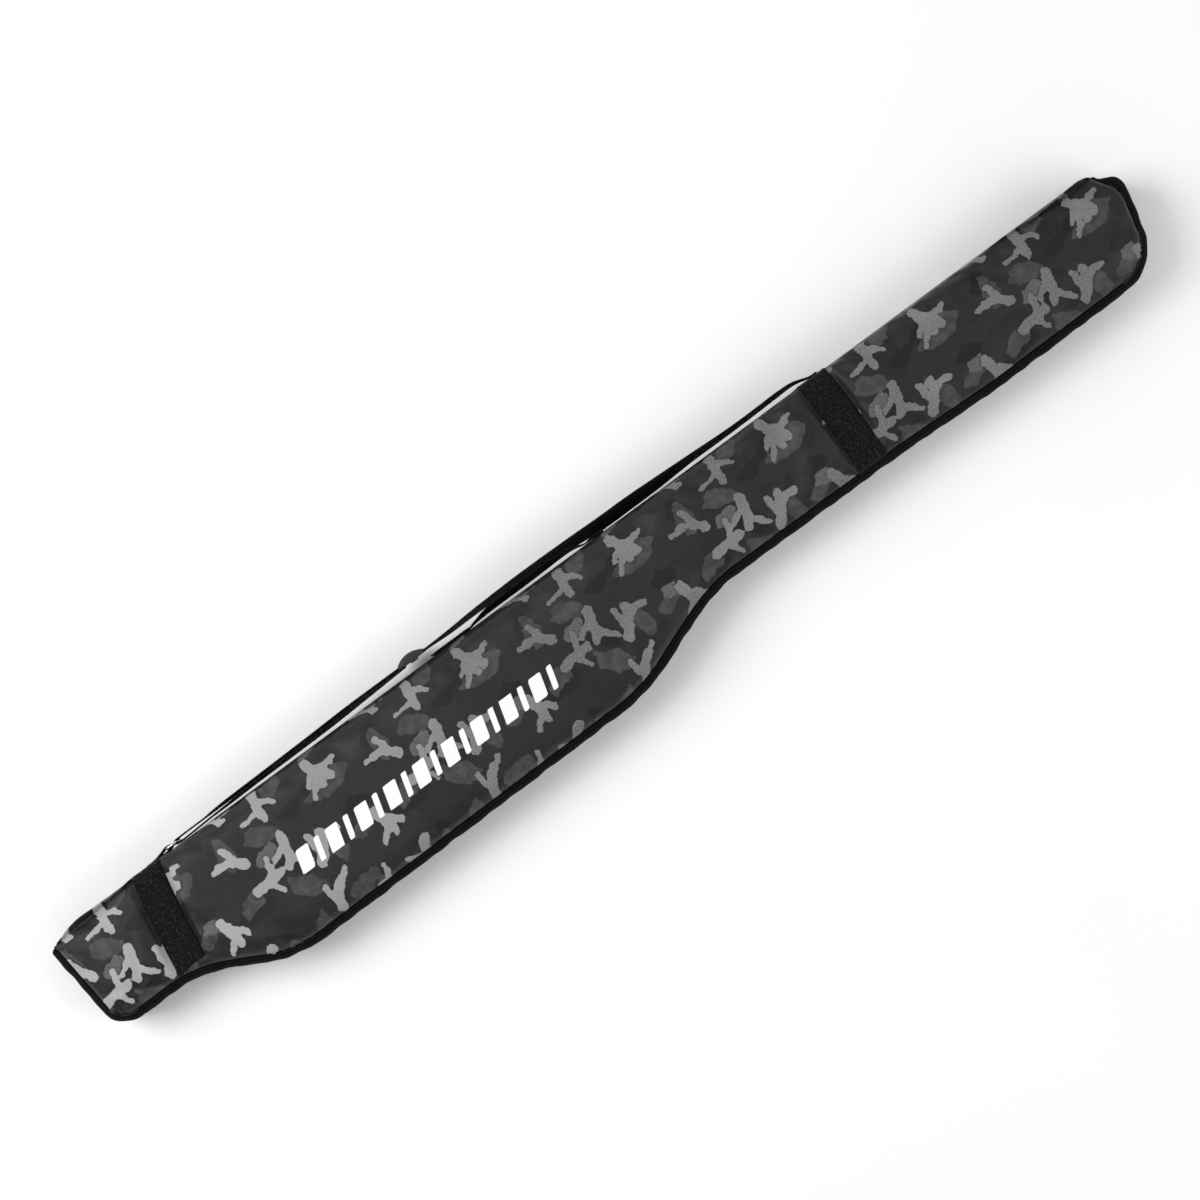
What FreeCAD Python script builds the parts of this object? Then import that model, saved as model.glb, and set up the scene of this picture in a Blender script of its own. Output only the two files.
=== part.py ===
"""A padded fishing-rod case that opens like a clamshell, lying on its back panel.

The case is drawn in its own pattern frame: x runs from the butt end to the tip, y is 0 along
the straight edge that carries the straps and negative across the case, and z is 0 on the back
panel's outer face. BAG then moves every piece so that the middle of the footprint is the origin.
"""
import FreeCAD, Part
import math
import os

from FreeCAD import Placement, Rotation, Vector

# Driving dimensions: alias, millimetres or degrees, meaning.
SIZES = [
    ("case_length", 1500, "length from the butt end to the tip"),
    ("spine_offset", 82, "distance from the middle of the footprint to the straight edge"),
    ("case_depth", 76, "depth from the back panel's face to the front panel's face"),
    ("bulge_width", 184.6, "width over the reel bulge"),
    ("butt_width", 132, "width at the butt end"),
    ("slim_width", 130, "width of the slim part"),
    ("panel_rise", 10, "height of a panel's turned edge"),
    ("panel_fold", 8, "radius of the fold round a panel's edge"),
    ("panel_thick", 3.2, "laminated camouflage fabric"),
    ("foam_thick", 5, "foam padding"),
    ("foam_margin", 4.4, "from a panel's outline in to its foam"),
    ("lining_thick", 1, "lining fabric"),
    ("lobe_radius", 12.7, "outer radius of a gusset half"),
    ("lobe_thick", 1.6, "gusset fabric"),
    ("lobe_top_angle", 80, "where a gusset half meets its panel, in degrees"),
    ("lobe_zip_angle", 58, "where a gusset half meets its zip tape, in degrees"),
    ("seam_allowance", 2.1, "gusset fabric turned in under the panel"),
    ("piping_radius", 1.9, "piping on the panel seams"),
    ("tape_thick", 0.8, "zip tape"),
    ("tape_depth", 7.1, "from the outline in to the zip tape's face"),
    ("tape_width", 8, "zip tape of one half"),
    ("coil_size", 1.85, "height and depth of one coil of the zip"),
    ("zip_gap", 0.3, "gap between the two coils"),
    ("lid_gap", 0.6, "gap under the front panel along the hinge line"),
    ("webbing_width", 38, "webbing of the bands and the shoulder strap"),
    ("webbing_thick", 1.6, "webbing of the shoulder strap and the handle"),
    ("band_thick", 1.4, "webbing of the bands, sunk into the panels"),
    ("handle_width", 25, "webbing of the carry handle"),
    ("ring_wire", 1.6, "radius of the ring's wire"),
    ("fit_gap", 0.05, "running clearance round a pin or a ring bar"),
    ("adjuster_length", 34, "slide adjuster, along the strap"),
    ("adjuster_width", 45, "slide adjuster, across the strap"),
    ("slider_length", 13, "zip slider"),
    ("slider_width", 9, "zip slider"),
    ("pull_length", 30, "pull tab from its pin to its end"),
    ("pull_width", 7, "pull tab"),
    ("pull_thick", 1.2, "pull tab"),
    ("pull_neck", 4, "pull tab's barrel, along its pin"),
    ("pin_radius", 0.6, "pin of a pull tab"),
    ("stop_length", 3, "zip stop"),
    ("slider_butt_place", 216, "closed slider of the butt end, along the bulge's straight edge"),
    ("slider_tip_place", 262, "closed slider of the tip, along the bulge's straight edge"),
]

doc = FreeCAD.newDocument("rod_case")


def make_sheet():
    """Writes the driving dimensions into the spreadsheet and returns them by alias."""
    sheet = doc.addObject("Spreadsheet::Sheet", "Sizes")
    for row, (alias, value, meaning) in enumerate(SIZES, 1):
        sheet.set(f"A{row}", meaning)
        sheet.set(f"B{row}", str(value))
        sheet.setAlias(f"B{row}", alias)
    doc.recompute()
    return {alias: float(sheet.get(alias)) for alias, _, _ in SIZES}


size = make_sheet()
BAG = Placement(Vector(-size["case_length"] / 2, size["spine_offset"], 0), Rotation())

mid_z = size["case_depth"] / 2
seam_front = size["case_depth"] - size["panel_rise"]
lobe_top = math.radians(size["lobe_top_angle"])
lobe_zip = math.radians(size["lobe_zip_angle"])
seam_inset = size["lobe_radius"] * (1 - math.cos(lobe_top))
lobe_centre_z = seam_front - size["lobe_radius"] * math.sin(lobe_top)
coil_face = -size["tape_depth"] + size["fit_gap"] * 2 + size["coil_size"]


def unit(start, end):
    """Direction from one corner to the next."""
    length = math.hypot(end[0] - start[0], end[1] - start[1])
    return (end[0] - start[0]) / length, (end[1] - start[1]) / length


def edge_point(start, end, distance, radius=0):
    """A corner on a straight edge, at a distance from the edge's start."""
    along = unit(start, end)
    return start[0] + along[0] * distance, start[1] + along[1] * distance, radius


# Corners of the outline seen from the front: x, y and the radius of the bend there.
TIP_SHOULDER = (1459, 0, 24)
TIP_TOP = (1503.5, -23.8, 16)
TIP_LOW = (1477, -133, 62)
SLIM_SAG = (1240, -135.2, 1200)
SLIM_RISE = (1120, -size["slim_width"] - 0.2, 1200)
BULGE_OUT = (852, -size["slim_width"] + 0.8, 200)
BULGE_TIP = (721, -178.5, 220)
BULGE_BUTT = (224, -size["bulge_width"], 150)
BULGE_IN = (124, -size["butt_width"], 140)
BUTT_LOW = (10.5, -size["butt_width"] - 0.5, 33)
BUTT_TOP = (0.5, -12.5, 10)
BUTT_SHOULDER = (50, 0, 100)
LOW_EDGE = [TIP_LOW, SLIM_SAG, SLIM_RISE, BULGE_OUT, BULGE_TIP, BULGE_BUTT, BULGE_IN, BUTT_LOW]

# The front and back panels are cut back at the tip, where the gusset is wider.
PANEL_TIP = edge_point(TIP_SHOULDER, TIP_TOP, 12, 6)
PANEL_END = (1497.5, -48.5, 45)

# Ends of what follows the outline.
GUSSET_START = edge_point(TIP_SHOULDER, TIP_TOP, 10.2)
GUSSET_END = edge_point(BUTT_TOP, BUTT_LOW, 4.5)
PIPING_START = edge_point(TIP_SHOULDER, TIP_TOP, 33)
SPINE_ROUTE = [edge_point(BUTT_SHOULDER, BUTT_TOP, 48.2), BUTT_SHOULDER, TIP_SHOULDER,
               edge_point(TIP_SHOULDER, TIP_TOP, 9)]
FOAM_ROUTE = [edge_point(BUTT_SHOULDER, BUTT_TOP, 25), BUTT_SHOULDER, (1448, 0, 0)]

# Webbing bands: where the middle of each crosses the straight edge and the bulge side's line.
BUTT_BAND = (146, 122.8)
TIP_BAND = (1081, 1080)

# Small parts of the zip.
STOP_THICK = 1.1
PLATE_THICK = 1.5
FLANGE_THICK = 1.1
EAR_THICK = 0.8
PIN_DEPTH = 1.65
BARREL_WALL = 0.7

# The ring: height of its wire's middle over the straight edge, its two bars, its half height.
RING_Y = 3.9
RING_BARS = (177, 190)
RING_HALF = 23.8
RING_BEND = 4.5
RING_PLAY = 0.2
TAB_START = 146
TAB_SLOPE = 12
TAB_FOOT = 6

# The strap's routes: x, distance from the straight edge and the radius of the bend there.
STRAP_START = (236, 6.9, 0)
STRAP_ROUTE = [STRAP_START, (615, 13.5, 800), (705, 16.4, 800), (1040, 8.6, 0)]
RETURN_ROUTE = [(236, 3.15, 0), (340, 5.2, 500), (516, 9.1, 0)]
END_OUTER = (232, 6.85, 0)
END_INNER = (232, 3.1, 0)
PATCHES = {"butt": (548, 602), "tip": (768, 794)}
PATCH_THICK = 1.3
PATCH_EXTRA = 4

# Slide adjuster: its middle along the case, its gap to the strap, its arch, its rim and bar.
ADJUSTER_PLACE = 527
ADJUSTER_GAP = 0.35
ARCH_RISE = 7.2
ARCH_RIM = 1.6
SLOT_PLACE = 0.22
BAR_LENGTH = 8
BAR_THICK = 2


# ---------------------------------------------------------------- outlines

def shifted_line(start, end, inset):
    """A point and direction of an edge moved to its right by its inset."""
    along = unit(start, end)
    return (start[0] + along[1] * inset, start[1] - along[0] * inset), along


def crossing(first, second):
    """Where two lines, each a point and a direction, meet."""
    (px, py), (ux, uy) = first
    (qx, qy), (vx, vy) = second
    reach = ((qx - px) * vy - (qy - py) * vx) / (ux * vy - uy * vx)
    return px + ux * reach, py + uy * reach


def inset_corners(corners, insets, closed):
    """Corners after every edge moves to its right by its own inset; bends change to suit."""
    count = len(corners)
    edges = count if closed else count - 1
    lines = [shifted_line(corners[i], corners[(i + 1) % count], insets[i]) for i in range(edges)]
    moved = []
    for i, corner in enumerate(corners):
        if not closed and i == 0:
            moved.append((*lines[0][0], 0))
            continue
        if not closed and i == count - 1:
            (px, py), (ux, uy) = lines[-1]
            reach = math.dist(corners[i - 1][:2], corner[:2])
            moved.append((px + ux * reach, py + uy * reach, 0))
            continue
        before, after = lines[i - 1], lines[i]
        turn = before[1][0] * after[1][1] - before[1][1] * after[1][0]
        inset = max(insets[i - 1], insets[i], key=abs)
        radius = corner[2] - inset if turn < 0 else corner[2] + inset
        moved.append((*crossing(before, after), max(radius, 0.5)))
    return moved


def rounded(corners, closed):
    """Straight and round edges through the corners, in order."""
    count = len(corners)
    shapes = []
    first_point = None
    last_point = None
    for i, (x, y, radius) in enumerate(corners):
        ends_here = not closed and i in (0, count - 1)
        if ends_here:
            start = finish = Vector(x, y, 0)
        else:
            before = unit(corners[i - 1], corners[i])
            after = unit(corners[i], corners[(i + 1) % count])
            turn = before[0] * after[1] - before[1] * after[0]
            angle = math.atan2(abs(turn), before[0] * after[0] + before[1] * after[1])
            reach = radius * math.tan(angle / 2)
            start = Vector(x - before[0] * reach, y - before[1] * reach, 0)
            finish = Vector(x + after[0] * reach, y + after[1] * reach, 0)
        if last_point is not None:
            shapes.append(Part.LineSegment(last_point, start))
        if first_point is None:
            first_point = start
        if not ends_here:
            side = 1 if turn > 0 else -1
            centre = start + Vector(-before[1], before[0], 0) * (side * radius)
            sides = (start, finish) if side > 0 else (finish, start)
            low, high = (math.atan2(p.y - centre.y, p.x - centre.x) for p in sides)
            circle = Part.Circle(centre, Vector(0, 0, 1), radius)
            shapes.append(Part.ArcOfCircle(circle, low, high if high > low else high + 2 * math.pi))
        last_point = finish
    if closed:
        shapes.append(Part.LineSegment(last_point, first_point))
    return shapes, first_point, last_point


def panel_outline(margin=0.0):
    """Closed outline of a panel, moved inwards all round by a margin."""
    spine_corners = [BUTT_TOP, BUTT_SHOULDER, TIP_SHOULDER]
    corners = [PANEL_TIP, PANEL_END] + LOW_EDGE + spine_corners
    insets = [margin] + [seam_inset + margin] * (len(LOW_EDGE) + 1) + [margin] * len(spine_corners)
    return rounded(inset_corners(corners, insets, True), True)[0]


def strip_outline(corners, right, left):
    """Closed outline between a route moved to its right and the same route moved to its left."""
    edges = len(corners) - 1
    near, near_start, near_end = rounded(inset_corners(corners, [right] * edges, False), False)
    far, far_start, far_end = rounded(inset_corners(corners, [left] * edges, False), False)
    caps = [Part.LineSegment(near_start, far_start), Part.LineSegment(near_end, far_end)]
    return near + far + caps


def spine_outline(outer, inner, route=SPINE_ROUTE):
    """Closed outline of a layer along the straight edge, between two depths."""
    return strip_outline(route, outer, inner)


# ---------------------------------------------------------------- building blocks

def new_body(label):
    """An empty body at the case's place."""
    body = doc.addObject("PartDesign::Body", label)
    body.Label = label
    body.Placement = BAG
    return body


def new_sketch(body, name, role, shapes, height=None):
    """A sketch on one of the body's own origin planes, lifted by an expression."""
    sketch = body.newObject("Sketcher::SketchObject", f"{body.Label}_{name}")
    plane = next(p for p in body.Origin.OriginFeatures if p.Role == role)
    sketch.AttachmentSupport = [(plane, "")]
    sketch.MapMode = "FlatFace"
    if height:
        sketch.setExpression("AttachmentOffset.Base.z", height)
    sketch.addGeometry(shapes, False)
    return sketch


def new_pad(body, name, shapes, low, thick, role="XY_Plane", midplane=False):
    """A pad of a closed outline from a height and by a thickness, both expressions."""
    sketch = new_sketch(body, f"{name}_sketch", role, shapes, low)
    pad = body.newObject("PartDesign::Pad", f"{body.Label}_{name}")
    pad.Profile = sketch
    pad.setExpression("Length", thick)
    pad.Midplane = midplane
    sketch.Visibility = False
    body.Tip = pad
    return pad


def new_pocket(body, name, shapes, low, deep):
    """A pocket upwards or downwards from a height by a depth; low and deep are expressions."""
    sketch = new_sketch(body, f"{name}_sketch", "XY_Plane", shapes, low)
    pocket = body.newObject("PartDesign::Pocket", f"{body.Label}_{name}")
    pocket.Profile = sketch
    pocket.setExpression("Length", deep)
    pocket.Reversed = True
    body.Tip = pocket
    return pocket


def fold_edges(body, pad, height, radius):
    """Rounds the edges of a pad that lie at one height."""
    doc.recompute()
    names = []
    for number, edge in enumerate(pad.Shape.Edges, 1):
        box = edge.BoundBox
        if abs(box.ZMin - height) < 1e-4 and abs(box.ZMax - height) < 1e-4:
            names.append(f"Edge{number}")
    fillet = body.newObject("PartDesign::Fillet", f"{body.Label}_fold")
    fillet.Base = (pad, names)
    fillet.setExpression("Radius", radius)
    body.Tip = fillet
    return fillet


def webbing(label, corners, width):
    """Webbing that stands on edge: a route seen from the front, as thick as webbing, in depth."""
    half = size["webbing_thick"] / 2
    body = new_body(label)
    new_pad(body, "weave", strip_outline(corners, half, -half), "Sizes.case_depth / 2", width,
            midplane=True)
    return body


def combined(kind, label, shapes):
    """A boolean of shapes, under a label of its own."""
    result = doc.addObject(kind, label)
    result.Label = label
    if kind in ("Part::Cut", "Part::Common"):
        result.Base, result.Tool = shapes
    else:
        result.Shapes = shapes
    return result


# ---------------------------------------------------------------- panels and their layers

def tray_form(label, margin, front):
    """A solid tray with a folded edge: a panel's outer form, moved inwards by a margin name."""
    body = new_body(label)
    body.Placement = Placement()
    inset = size[margin] if margin else 0.0
    less = f" - Sizes.{margin}" if margin else ""
    if front:
        low = "Sizes.case_depth - Sizes.panel_rise"
        outer_face = size["case_depth"] - inset
    else:
        low = f"Sizes.{margin}" if margin else None
        outer_face = inset
    pad = new_pad(body, "form", panel_outline(inset), low, f"Sizes.panel_rise{less}")
    fold_edges(body, pad, outer_face, f"Sizes.panel_fold{less}")
    return body


def hollow_form(label, front):
    """The space that the padding and lining fill inside a panel."""
    body = new_body(label)
    body.Placement = Placement()
    low = "Sizes.case_depth - Sizes.panel_rise" if front else "Sizes.panel_thick"
    new_pad(body, "form", panel_outline(size["foam_margin"]), low,
            "Sizes.panel_rise - Sizes.panel_thick")
    return body


def make_layers(half, front):
    """Foam and lining of one panel, the foam against the panel."""
    foam = new_body(f"{half}_padding")
    lining = new_body(f"{half}_lining")
    outline = panel_outline(size["foam_margin"])
    foam_face = "Sizes.panel_thick + Sizes.foam_thick"
    if front:
        foam_low = f"Sizes.case_depth - {foam_face.replace(' + ', ' - ')}"
        lining_low = f"{foam_low} - Sizes.lining_thick"
    else:
        foam_low = "Sizes.panel_thick"
        lining_low = foam_face
    new_pad(foam, "sheet", outline, foam_low, "Sizes.foam_thick")
    new_pad(lining, "sheet", outline, lining_low, "Sizes.lining_thick")


def strip_form(label, top_x, low_x):
    """The space that a webbing band takes, seen from the front as a slanting strip."""
    body = new_body(label)
    body.Placement = Placement()
    reach = 250
    along = unit((low_x, -size["slim_width"]), (top_x, 0))
    half = size["webbing_width"] / 2
    centre = Vector(top_x, 0, 0)
    far = Vector(along[0], along[1], 0) * reach
    side = Vector(along[1], -along[0], 0) * half
    corners = [centre - far - side, centre + far - side, centre + far + side, centre - far + side]
    lines = [Part.LineSegment(corners[i - 1], corners[i]) for i in range(4)]
    new_pad(body, "form", lines, "-Sizes.panel_rise", "Sizes.case_depth + 2 * Sizes.panel_rise")
    return body


def make_panels():
    """Front and back panels, the spine panel and the bands sunk into them."""
    strips = {
        "butt": strip_form("butt_strip", *BUTT_BAND),
        "tip": strip_form("tip_strip", *TIP_BAND),
    }
    spine_wall = new_body("spine_form")
    spine_wall.Placement = Placement()
    new_pad(spine_wall, "form", spine_outline(0, size["panel_thick"]), "Sizes.panel_rise",
            "Sizes.case_depth - 2 * Sizes.panel_rise - Sizes.lid_gap")
    spine_skin = new_body("spine_skin_form")
    spine_skin.Placement = Placement()
    new_pad(spine_skin, "form", spine_outline(0, size["band_thick"]), "Sizes.panel_rise",
            "Sizes.case_depth - 2 * Sizes.panel_rise - Sizes.lid_gap")
    spine_bands = {end: combined("Part::Common", f"{end}_spine_band", (spine_skin, strip))
                   for end, strip in strips.items()}
    for half, front in (("front", True), ("back", False)):
        outer = tray_form(f"{half}_form", None, front)
        core = tray_form(f"{half}_core_form", "band_thick", front)
        hollow = hollow_form(f"{half}_hollow_form", front)
        panel = combined("Part::Cut", f"{half}_wall_form", (outer, hollow))
        for end, strip in strips.items():
            label = f"{end}_band_{half}"
            slot = combined("Part::Cut", f"{label}_slot", (strip, core))
            panel = combined("Part::Cut", f"{half}_panel_less_{end}", (panel, slot))
            if front:
                combined("Part::Common", label, (outer, slot))
            else:
                flat = combined("Part::Common", f"{label}_flat", (outer, slot))
                combined("Part::MultiFuse", label, [flat, spine_bands[end]])
        panel.Label = f"{half}_panel"
        make_layers(half, front)
    bands = combined("Part::MultiFuse", "spine_taken", list(spine_bands.values()))
    combined("Part::Cut", "spine_panel", (spine_wall, bands))


def make_spine_layers():
    """Foam and lining behind the spine panel, short of both ends of the gusset."""
    foam_in = size["panel_thick"]
    lining_in = foam_in + size["foam_thick"]
    height = "Sizes.case_depth - 2 * Sizes.panel_rise - Sizes.lid_gap"
    foam = new_body("spine_padding")
    new_pad(foam, "sheet", spine_outline(foam_in, lining_in, FOAM_ROUTE), "Sizes.panel_rise",
            height)
    lining = new_body("spine_lining")
    lining_face = lining_in + size["lining_thick"]
    new_pad(lining, "sheet", spine_outline(lining_in, lining_face, FOAM_ROUTE),
            "Sizes.panel_rise", height)


# ---------------------------------------------------------------- gusset, piping and zip

def flipped(height, front):
    """A height in the front half, or its mirror image in the back half."""
    return height if front else size["case_depth"] - height


def lobe_point(radius, angle):
    """A point of the gusset's section: distance outwards, height in the front half."""
    out = -size["lobe_radius"] + radius * math.cos(angle)
    return out, lobe_centre_z + radius * math.sin(angle)


def polygon(points):
    """Closed straight outline through points of a sketch."""
    places = [Vector(x, y, 0) for x, y in points]
    return [Part.LineSegment(places[i - 1], places[i]) for i in range(len(places))]


def arc_between(centre, radius, start, end):
    """Arc of a circle in a sketch, anticlockwise between two angles."""
    circle = Part.Circle(Vector(*centre, 0), Vector(0, 0, 1), radius)
    return Part.ArcOfCircle(circle, start, end)


def lobe_section(front):
    """Section of a gusset half: a round lobe with its seam allowance turned in."""
    outer, inner = size["lobe_radius"], size["lobe_radius"] - size["lobe_thick"]
    top_outer, top_inner = lobe_point(outer, lobe_top), lobe_point(inner, lobe_top)
    zip_outer, zip_inner = lobe_point(outer, -lobe_zip), lobe_point(inner, -lobe_zip)
    tuck = top_outer[0] - size["seam_allowance"]
    corners = [top_outer, (tuck, top_outer[1]), (tuck, top_inner[1]), top_inner]
    places = [Vector(out, flipped(z, front), 0) for out, z in corners]
    shapes = [Part.LineSegment(places[i], places[i + 1]) for i in range(3)]
    ends = [Vector(out, flipped(z, front), 0) for out, z in (zip_outer, zip_inner)]
    shapes.append(Part.LineSegment(*ends))
    centre = (-outer, flipped(lobe_centre_z, front))
    low, high = (-lobe_zip, lobe_top) if front else (-lobe_top, lobe_zip)
    shapes += [arc_between(centre, radius, low, high) for radius in (outer, inner)]
    return shapes


def swept(label, section, start=GUSSET_START, end=GUSSET_END):
    """A section swept from the spine round the tip, the bulge side and the butt end."""
    body = new_body(label)
    route, first, last = rounded([start, TIP_TOP] + LOW_EDGE + [end], False)
    path = new_sketch(body, "route", "XY_Plane", route)
    profile = new_sketch(body, "section", "YZ_Plane", section)
    along = unit(start, TIP_TOP)
    turned = Rotation(Vector(0, 1, 0), math.degrees(math.atan2(along[1], along[0])))
    profile.AttachmentOffset = Placement(Vector(start[1], 0, start[0]), turned)
    pipe = body.newObject("PartDesign::AdditivePipe", f"{label}_sweep")
    pipe.Profile = profile
    pipe.Spine = (path, [])
    pipe.Mode = "Standard"
    body.Tip = pipe
    return body


def box_section(out, thick, low, tall, front):
    """Rectangular section: its outer face, its thickness, and its heights in the front half."""
    heights = [flipped(low, front), flipped(low + tall, front)]
    return polygon([(out - thick, heights[0]), (out, heights[0]),
                    (out, heights[1]), (out - thick, heights[1])])


def make_edges():
    """Gusset, piping, zip tape and coil of each half."""
    for half, front in (("front", True), ("back", False)):
        swept(f"{half}_gusset", lobe_section(front))
        radius = size["piping_radius"]
        pipe_out = -seam_inset + radius + size["fit_gap"]
        pipe_z = flipped(seam_front + radius + size["fit_gap"], front)
        circle = Part.Circle(Vector(pipe_out, pipe_z, 0), Vector(0, 0, 1), radius)
        swept(f"{half}_piping", [circle], start=PIPING_START)
        swept(f"{half}_zip_tape", box_section(-size["tape_depth"], size["tape_thick"],
                                              mid_z + size["zip_gap"], size["tape_width"], front))
        swept(f"{half}_zip_coil", box_section(coil_face, size["coil_size"],
                                              mid_z + size["zip_gap"] / 2, size["coil_size"], front))


def edge_place(start, end, distance, height):
    """Placement at a distance along a straight edge: x along the edge and y to its left."""
    along = unit(start, end)
    angle = math.degrees(math.atan2(along[1], along[0]))
    base = Vector(start[0] + along[0] * distance, start[1] + along[1] * distance, height)
    return Placement(base, Rotation(Vector(0, 0, 1), angle))


def make_stops():
    """One stop at each end of the back coil, clamped on its outer face."""
    low = mid_z - size["zip_gap"] / 2 - size["coil_size"]
    face = coil_face + size["fit_gap"]
    butt_edge = math.dist(BUTT_LOW[:2], BUTT_TOP[:2])
    places = {
        "tip": edge_place(GUSSET_START, TIP_TOP, 2, low),
        "butt": edge_place(BUTT_LOW, BUTT_TOP, butt_edge - 9, low),
    }
    blocks = []
    for end, place in places.items():
        block = doc.addObject("Part::Box", f"{end}_stop")
        block.setExpression("Length", "Sizes.stop_length")
        block.Width = STOP_THICK
        block.setExpression("Height", "Sizes.coil_size")
        block.Placement = place * Placement(Vector(0, face, 0), Rotation())
        blocks.append(block)
    stops = doc.addObject("Part::Compound", "zip_stops")
    stops.Label = "zip_stops"
    stops.Links = blocks
    stops.Placement = BAG


# ---------------------------------------------------------------- zip sliders and pull tabs

def slider_place(distance):
    """Placement on the straight edge of the bulge: x along the edge and y inwards."""
    return edge_place(BULGE_BUTT, BULGE_TIP, distance, mid_z)


def slider_box(name, length, width, height, corner):
    """A block of a slider, its sizes given as expressions."""
    block = doc.addObject("Part::Box", name)
    for side, text in (("Length", length), ("Width", width), ("Height", height)):
        block.setExpression(side, text)
    block.Placement = Placement(Vector(*corner), Rotation())
    return block


def make_slider(label, distance):
    """A zip slider: a plate over the coils, a flange on the back coil and a pin on two ears."""
    length, width = size["slider_length"], size["slider_width"]
    plate_out = -coil_face - size["zip_gap"]
    plate_in = plate_out - PLATE_THICK
    flange_low = -size["zip_gap"] * 1.5 - size["coil_size"] - FLANGE_THICK
    ear_low = size["pull_neck"] / 2 + size["fit_gap"]
    ear_in = PIN_DEPTH - 2 * size["pin_radius"]
    blocks = [
        slider_box(f"{label}_plate", "Sizes.slider_length", str(PLATE_THICK), "Sizes.slider_width",
                   (-length / 2, plate_in, -width / 2)),
        slider_box(f"{label}_flange", "Sizes.slider_length", "Sizes.coil_size",
                   str(FLANGE_THICK), (-length / 2, plate_out, flange_low)),
    ]
    for side, low in (("upper", ear_low), ("lower", -ear_low - EAR_THICK)):
        blocks.append(slider_box(f"{label}_{side}_ear", "4 * Sizes.pin_radius",
                                 str(plate_in - ear_in), str(EAR_THICK),
                                 (-2 * size["pin_radius"], ear_in, low)))
    pin = doc.addObject("Part::Cylinder", f"{label}_pin")
    pin.setExpression("Radius", "Sizes.pin_radius")
    pin.Height = 2 * (ear_low + EAR_THICK)
    pin.Placement = Placement(Vector(0, PIN_DEPTH, -ear_low - EAR_THICK), Rotation())
    slider = combined("Part::MultiFuse", label, blocks + [pin])
    slider.Placement = BAG * slider_place(distance)


def make_pull(label, distance, way):
    """A pull tab: a barrel round the slider's pin and a plate that lies along the zip."""
    body = new_body(label)
    body.Placement = BAG * slider_place(distance)
    hole = size["pin_radius"] + size["fit_gap"]
    barrel = hole + BARREL_WALL
    half = size["pull_thick"] / 2
    start = math.asin(half / barrel)
    reach = way * size["pull_length"]
    edge = way * barrel * math.cos(start)
    low, high = (start, 2 * math.pi - start) if way > 0 else (start - math.pi, math.pi - start)
    outline = [
        arc_between((0, PIN_DEPTH), barrel, low, high),
        Part.LineSegment(Vector(edge, PIN_DEPTH + half, 0), Vector(reach, PIN_DEPTH + half, 0)),
        Part.LineSegment(Vector(reach, PIN_DEPTH + half, 0), Vector(reach, PIN_DEPTH - half, 0)),
        Part.LineSegment(Vector(reach, PIN_DEPTH - half, 0), Vector(edge, PIN_DEPTH - half, 0)),
        Part.Circle(Vector(0, PIN_DEPTH, 0), Vector(0, 0, 1), hole),
    ]
    new_pad(body, "neck", outline, None, "Sizes.pull_neck", midplane=True)
    near = way * 4
    plate = polygon([(near, PIN_DEPTH - half), (reach, PIN_DEPTH - half),
                     (reach, PIN_DEPTH + half), (near, PIN_DEPTH + half)])
    new_pad(body, "plate", plate, None, "Sizes.pull_width", midplane=True)


# ---------------------------------------------------------------- straps

def swept_ring(label):
    """The ring: round wire, one bar in its tab and one bar in the strap."""
    body = new_body(label)
    left, right = RING_BARS
    low, high = mid_z - RING_HALF, mid_z + RING_HALF
    middle = (left + right) / 2
    corners = [(middle, low, 0), (right, low, RING_BEND), (right, high, RING_BEND),
               (left, high, RING_BEND), (left, low, RING_BEND), (middle, low, 0)]
    path = new_sketch(body, "route", "XZ_Plane", rounded(corners, False)[0])
    path.AttachmentOffset = Placement(Vector(0, 0, -RING_Y), Rotation())
    circle = Part.Circle(Vector(RING_Y, low, 0), Vector(0, 0, 1), size["ring_wire"])
    profile = new_sketch(body, "section", "YZ_Plane", [circle])
    profile.AttachmentOffset = Placement(Vector(0, 0, middle), Rotation())
    pipe = body.newObject("PartDesign::AdditivePipe", f"{label}_sweep")
    pipe.Profile = profile
    pipe.Spine = (path, [])
    pipe.Mode = "Standard"
    body.Tip = pipe


def make_ring_tab():
    """Webbing sewn on the spine panel and folded round the ring's left bar."""
    body = new_body("ring_tab")
    left = RING_BARS[0]
    hole = size["ring_wire"] + size["fit_gap"]
    wrap = hole + size["webbing_thick"]
    sewn = TAB_START
    slope_end = Vector(sewn + TAB_SLOPE, size["webbing_thick"], 0)
    angle = math.atan2(RING_Y - slope_end.y, left - slope_end.x)
    lean = angle + math.asin(wrap / math.hypot(RING_Y - slope_end.y, left - slope_end.x))
    top = Vector(left - wrap * math.sin(lean), RING_Y + wrap * math.cos(lean), 0)
    floor = RING_Y - wrap
    corners = [slope_end, Vector(sewn, size["webbing_thick"], 0), Vector(sewn, 0, 0),
               Vector(left - TAB_FOOT, 0, 0), Vector(left, floor, 0)]
    outline = [Part.LineSegment(top, corners[0])]
    outline += [Part.LineSegment(corners[i], corners[i + 1]) for i in range(len(corners) - 1)]
    outline.append(arc_between((left, RING_Y), wrap, -math.pi / 2, math.pi / 2 + lean))
    outline.append(Part.Circle(Vector(left, RING_Y, 0), Vector(0, 0, 1), hole))
    new_pad(body, "weave", outline, "Sizes.case_depth / 2", "Sizes.webbing_width", midplane=True)


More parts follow.
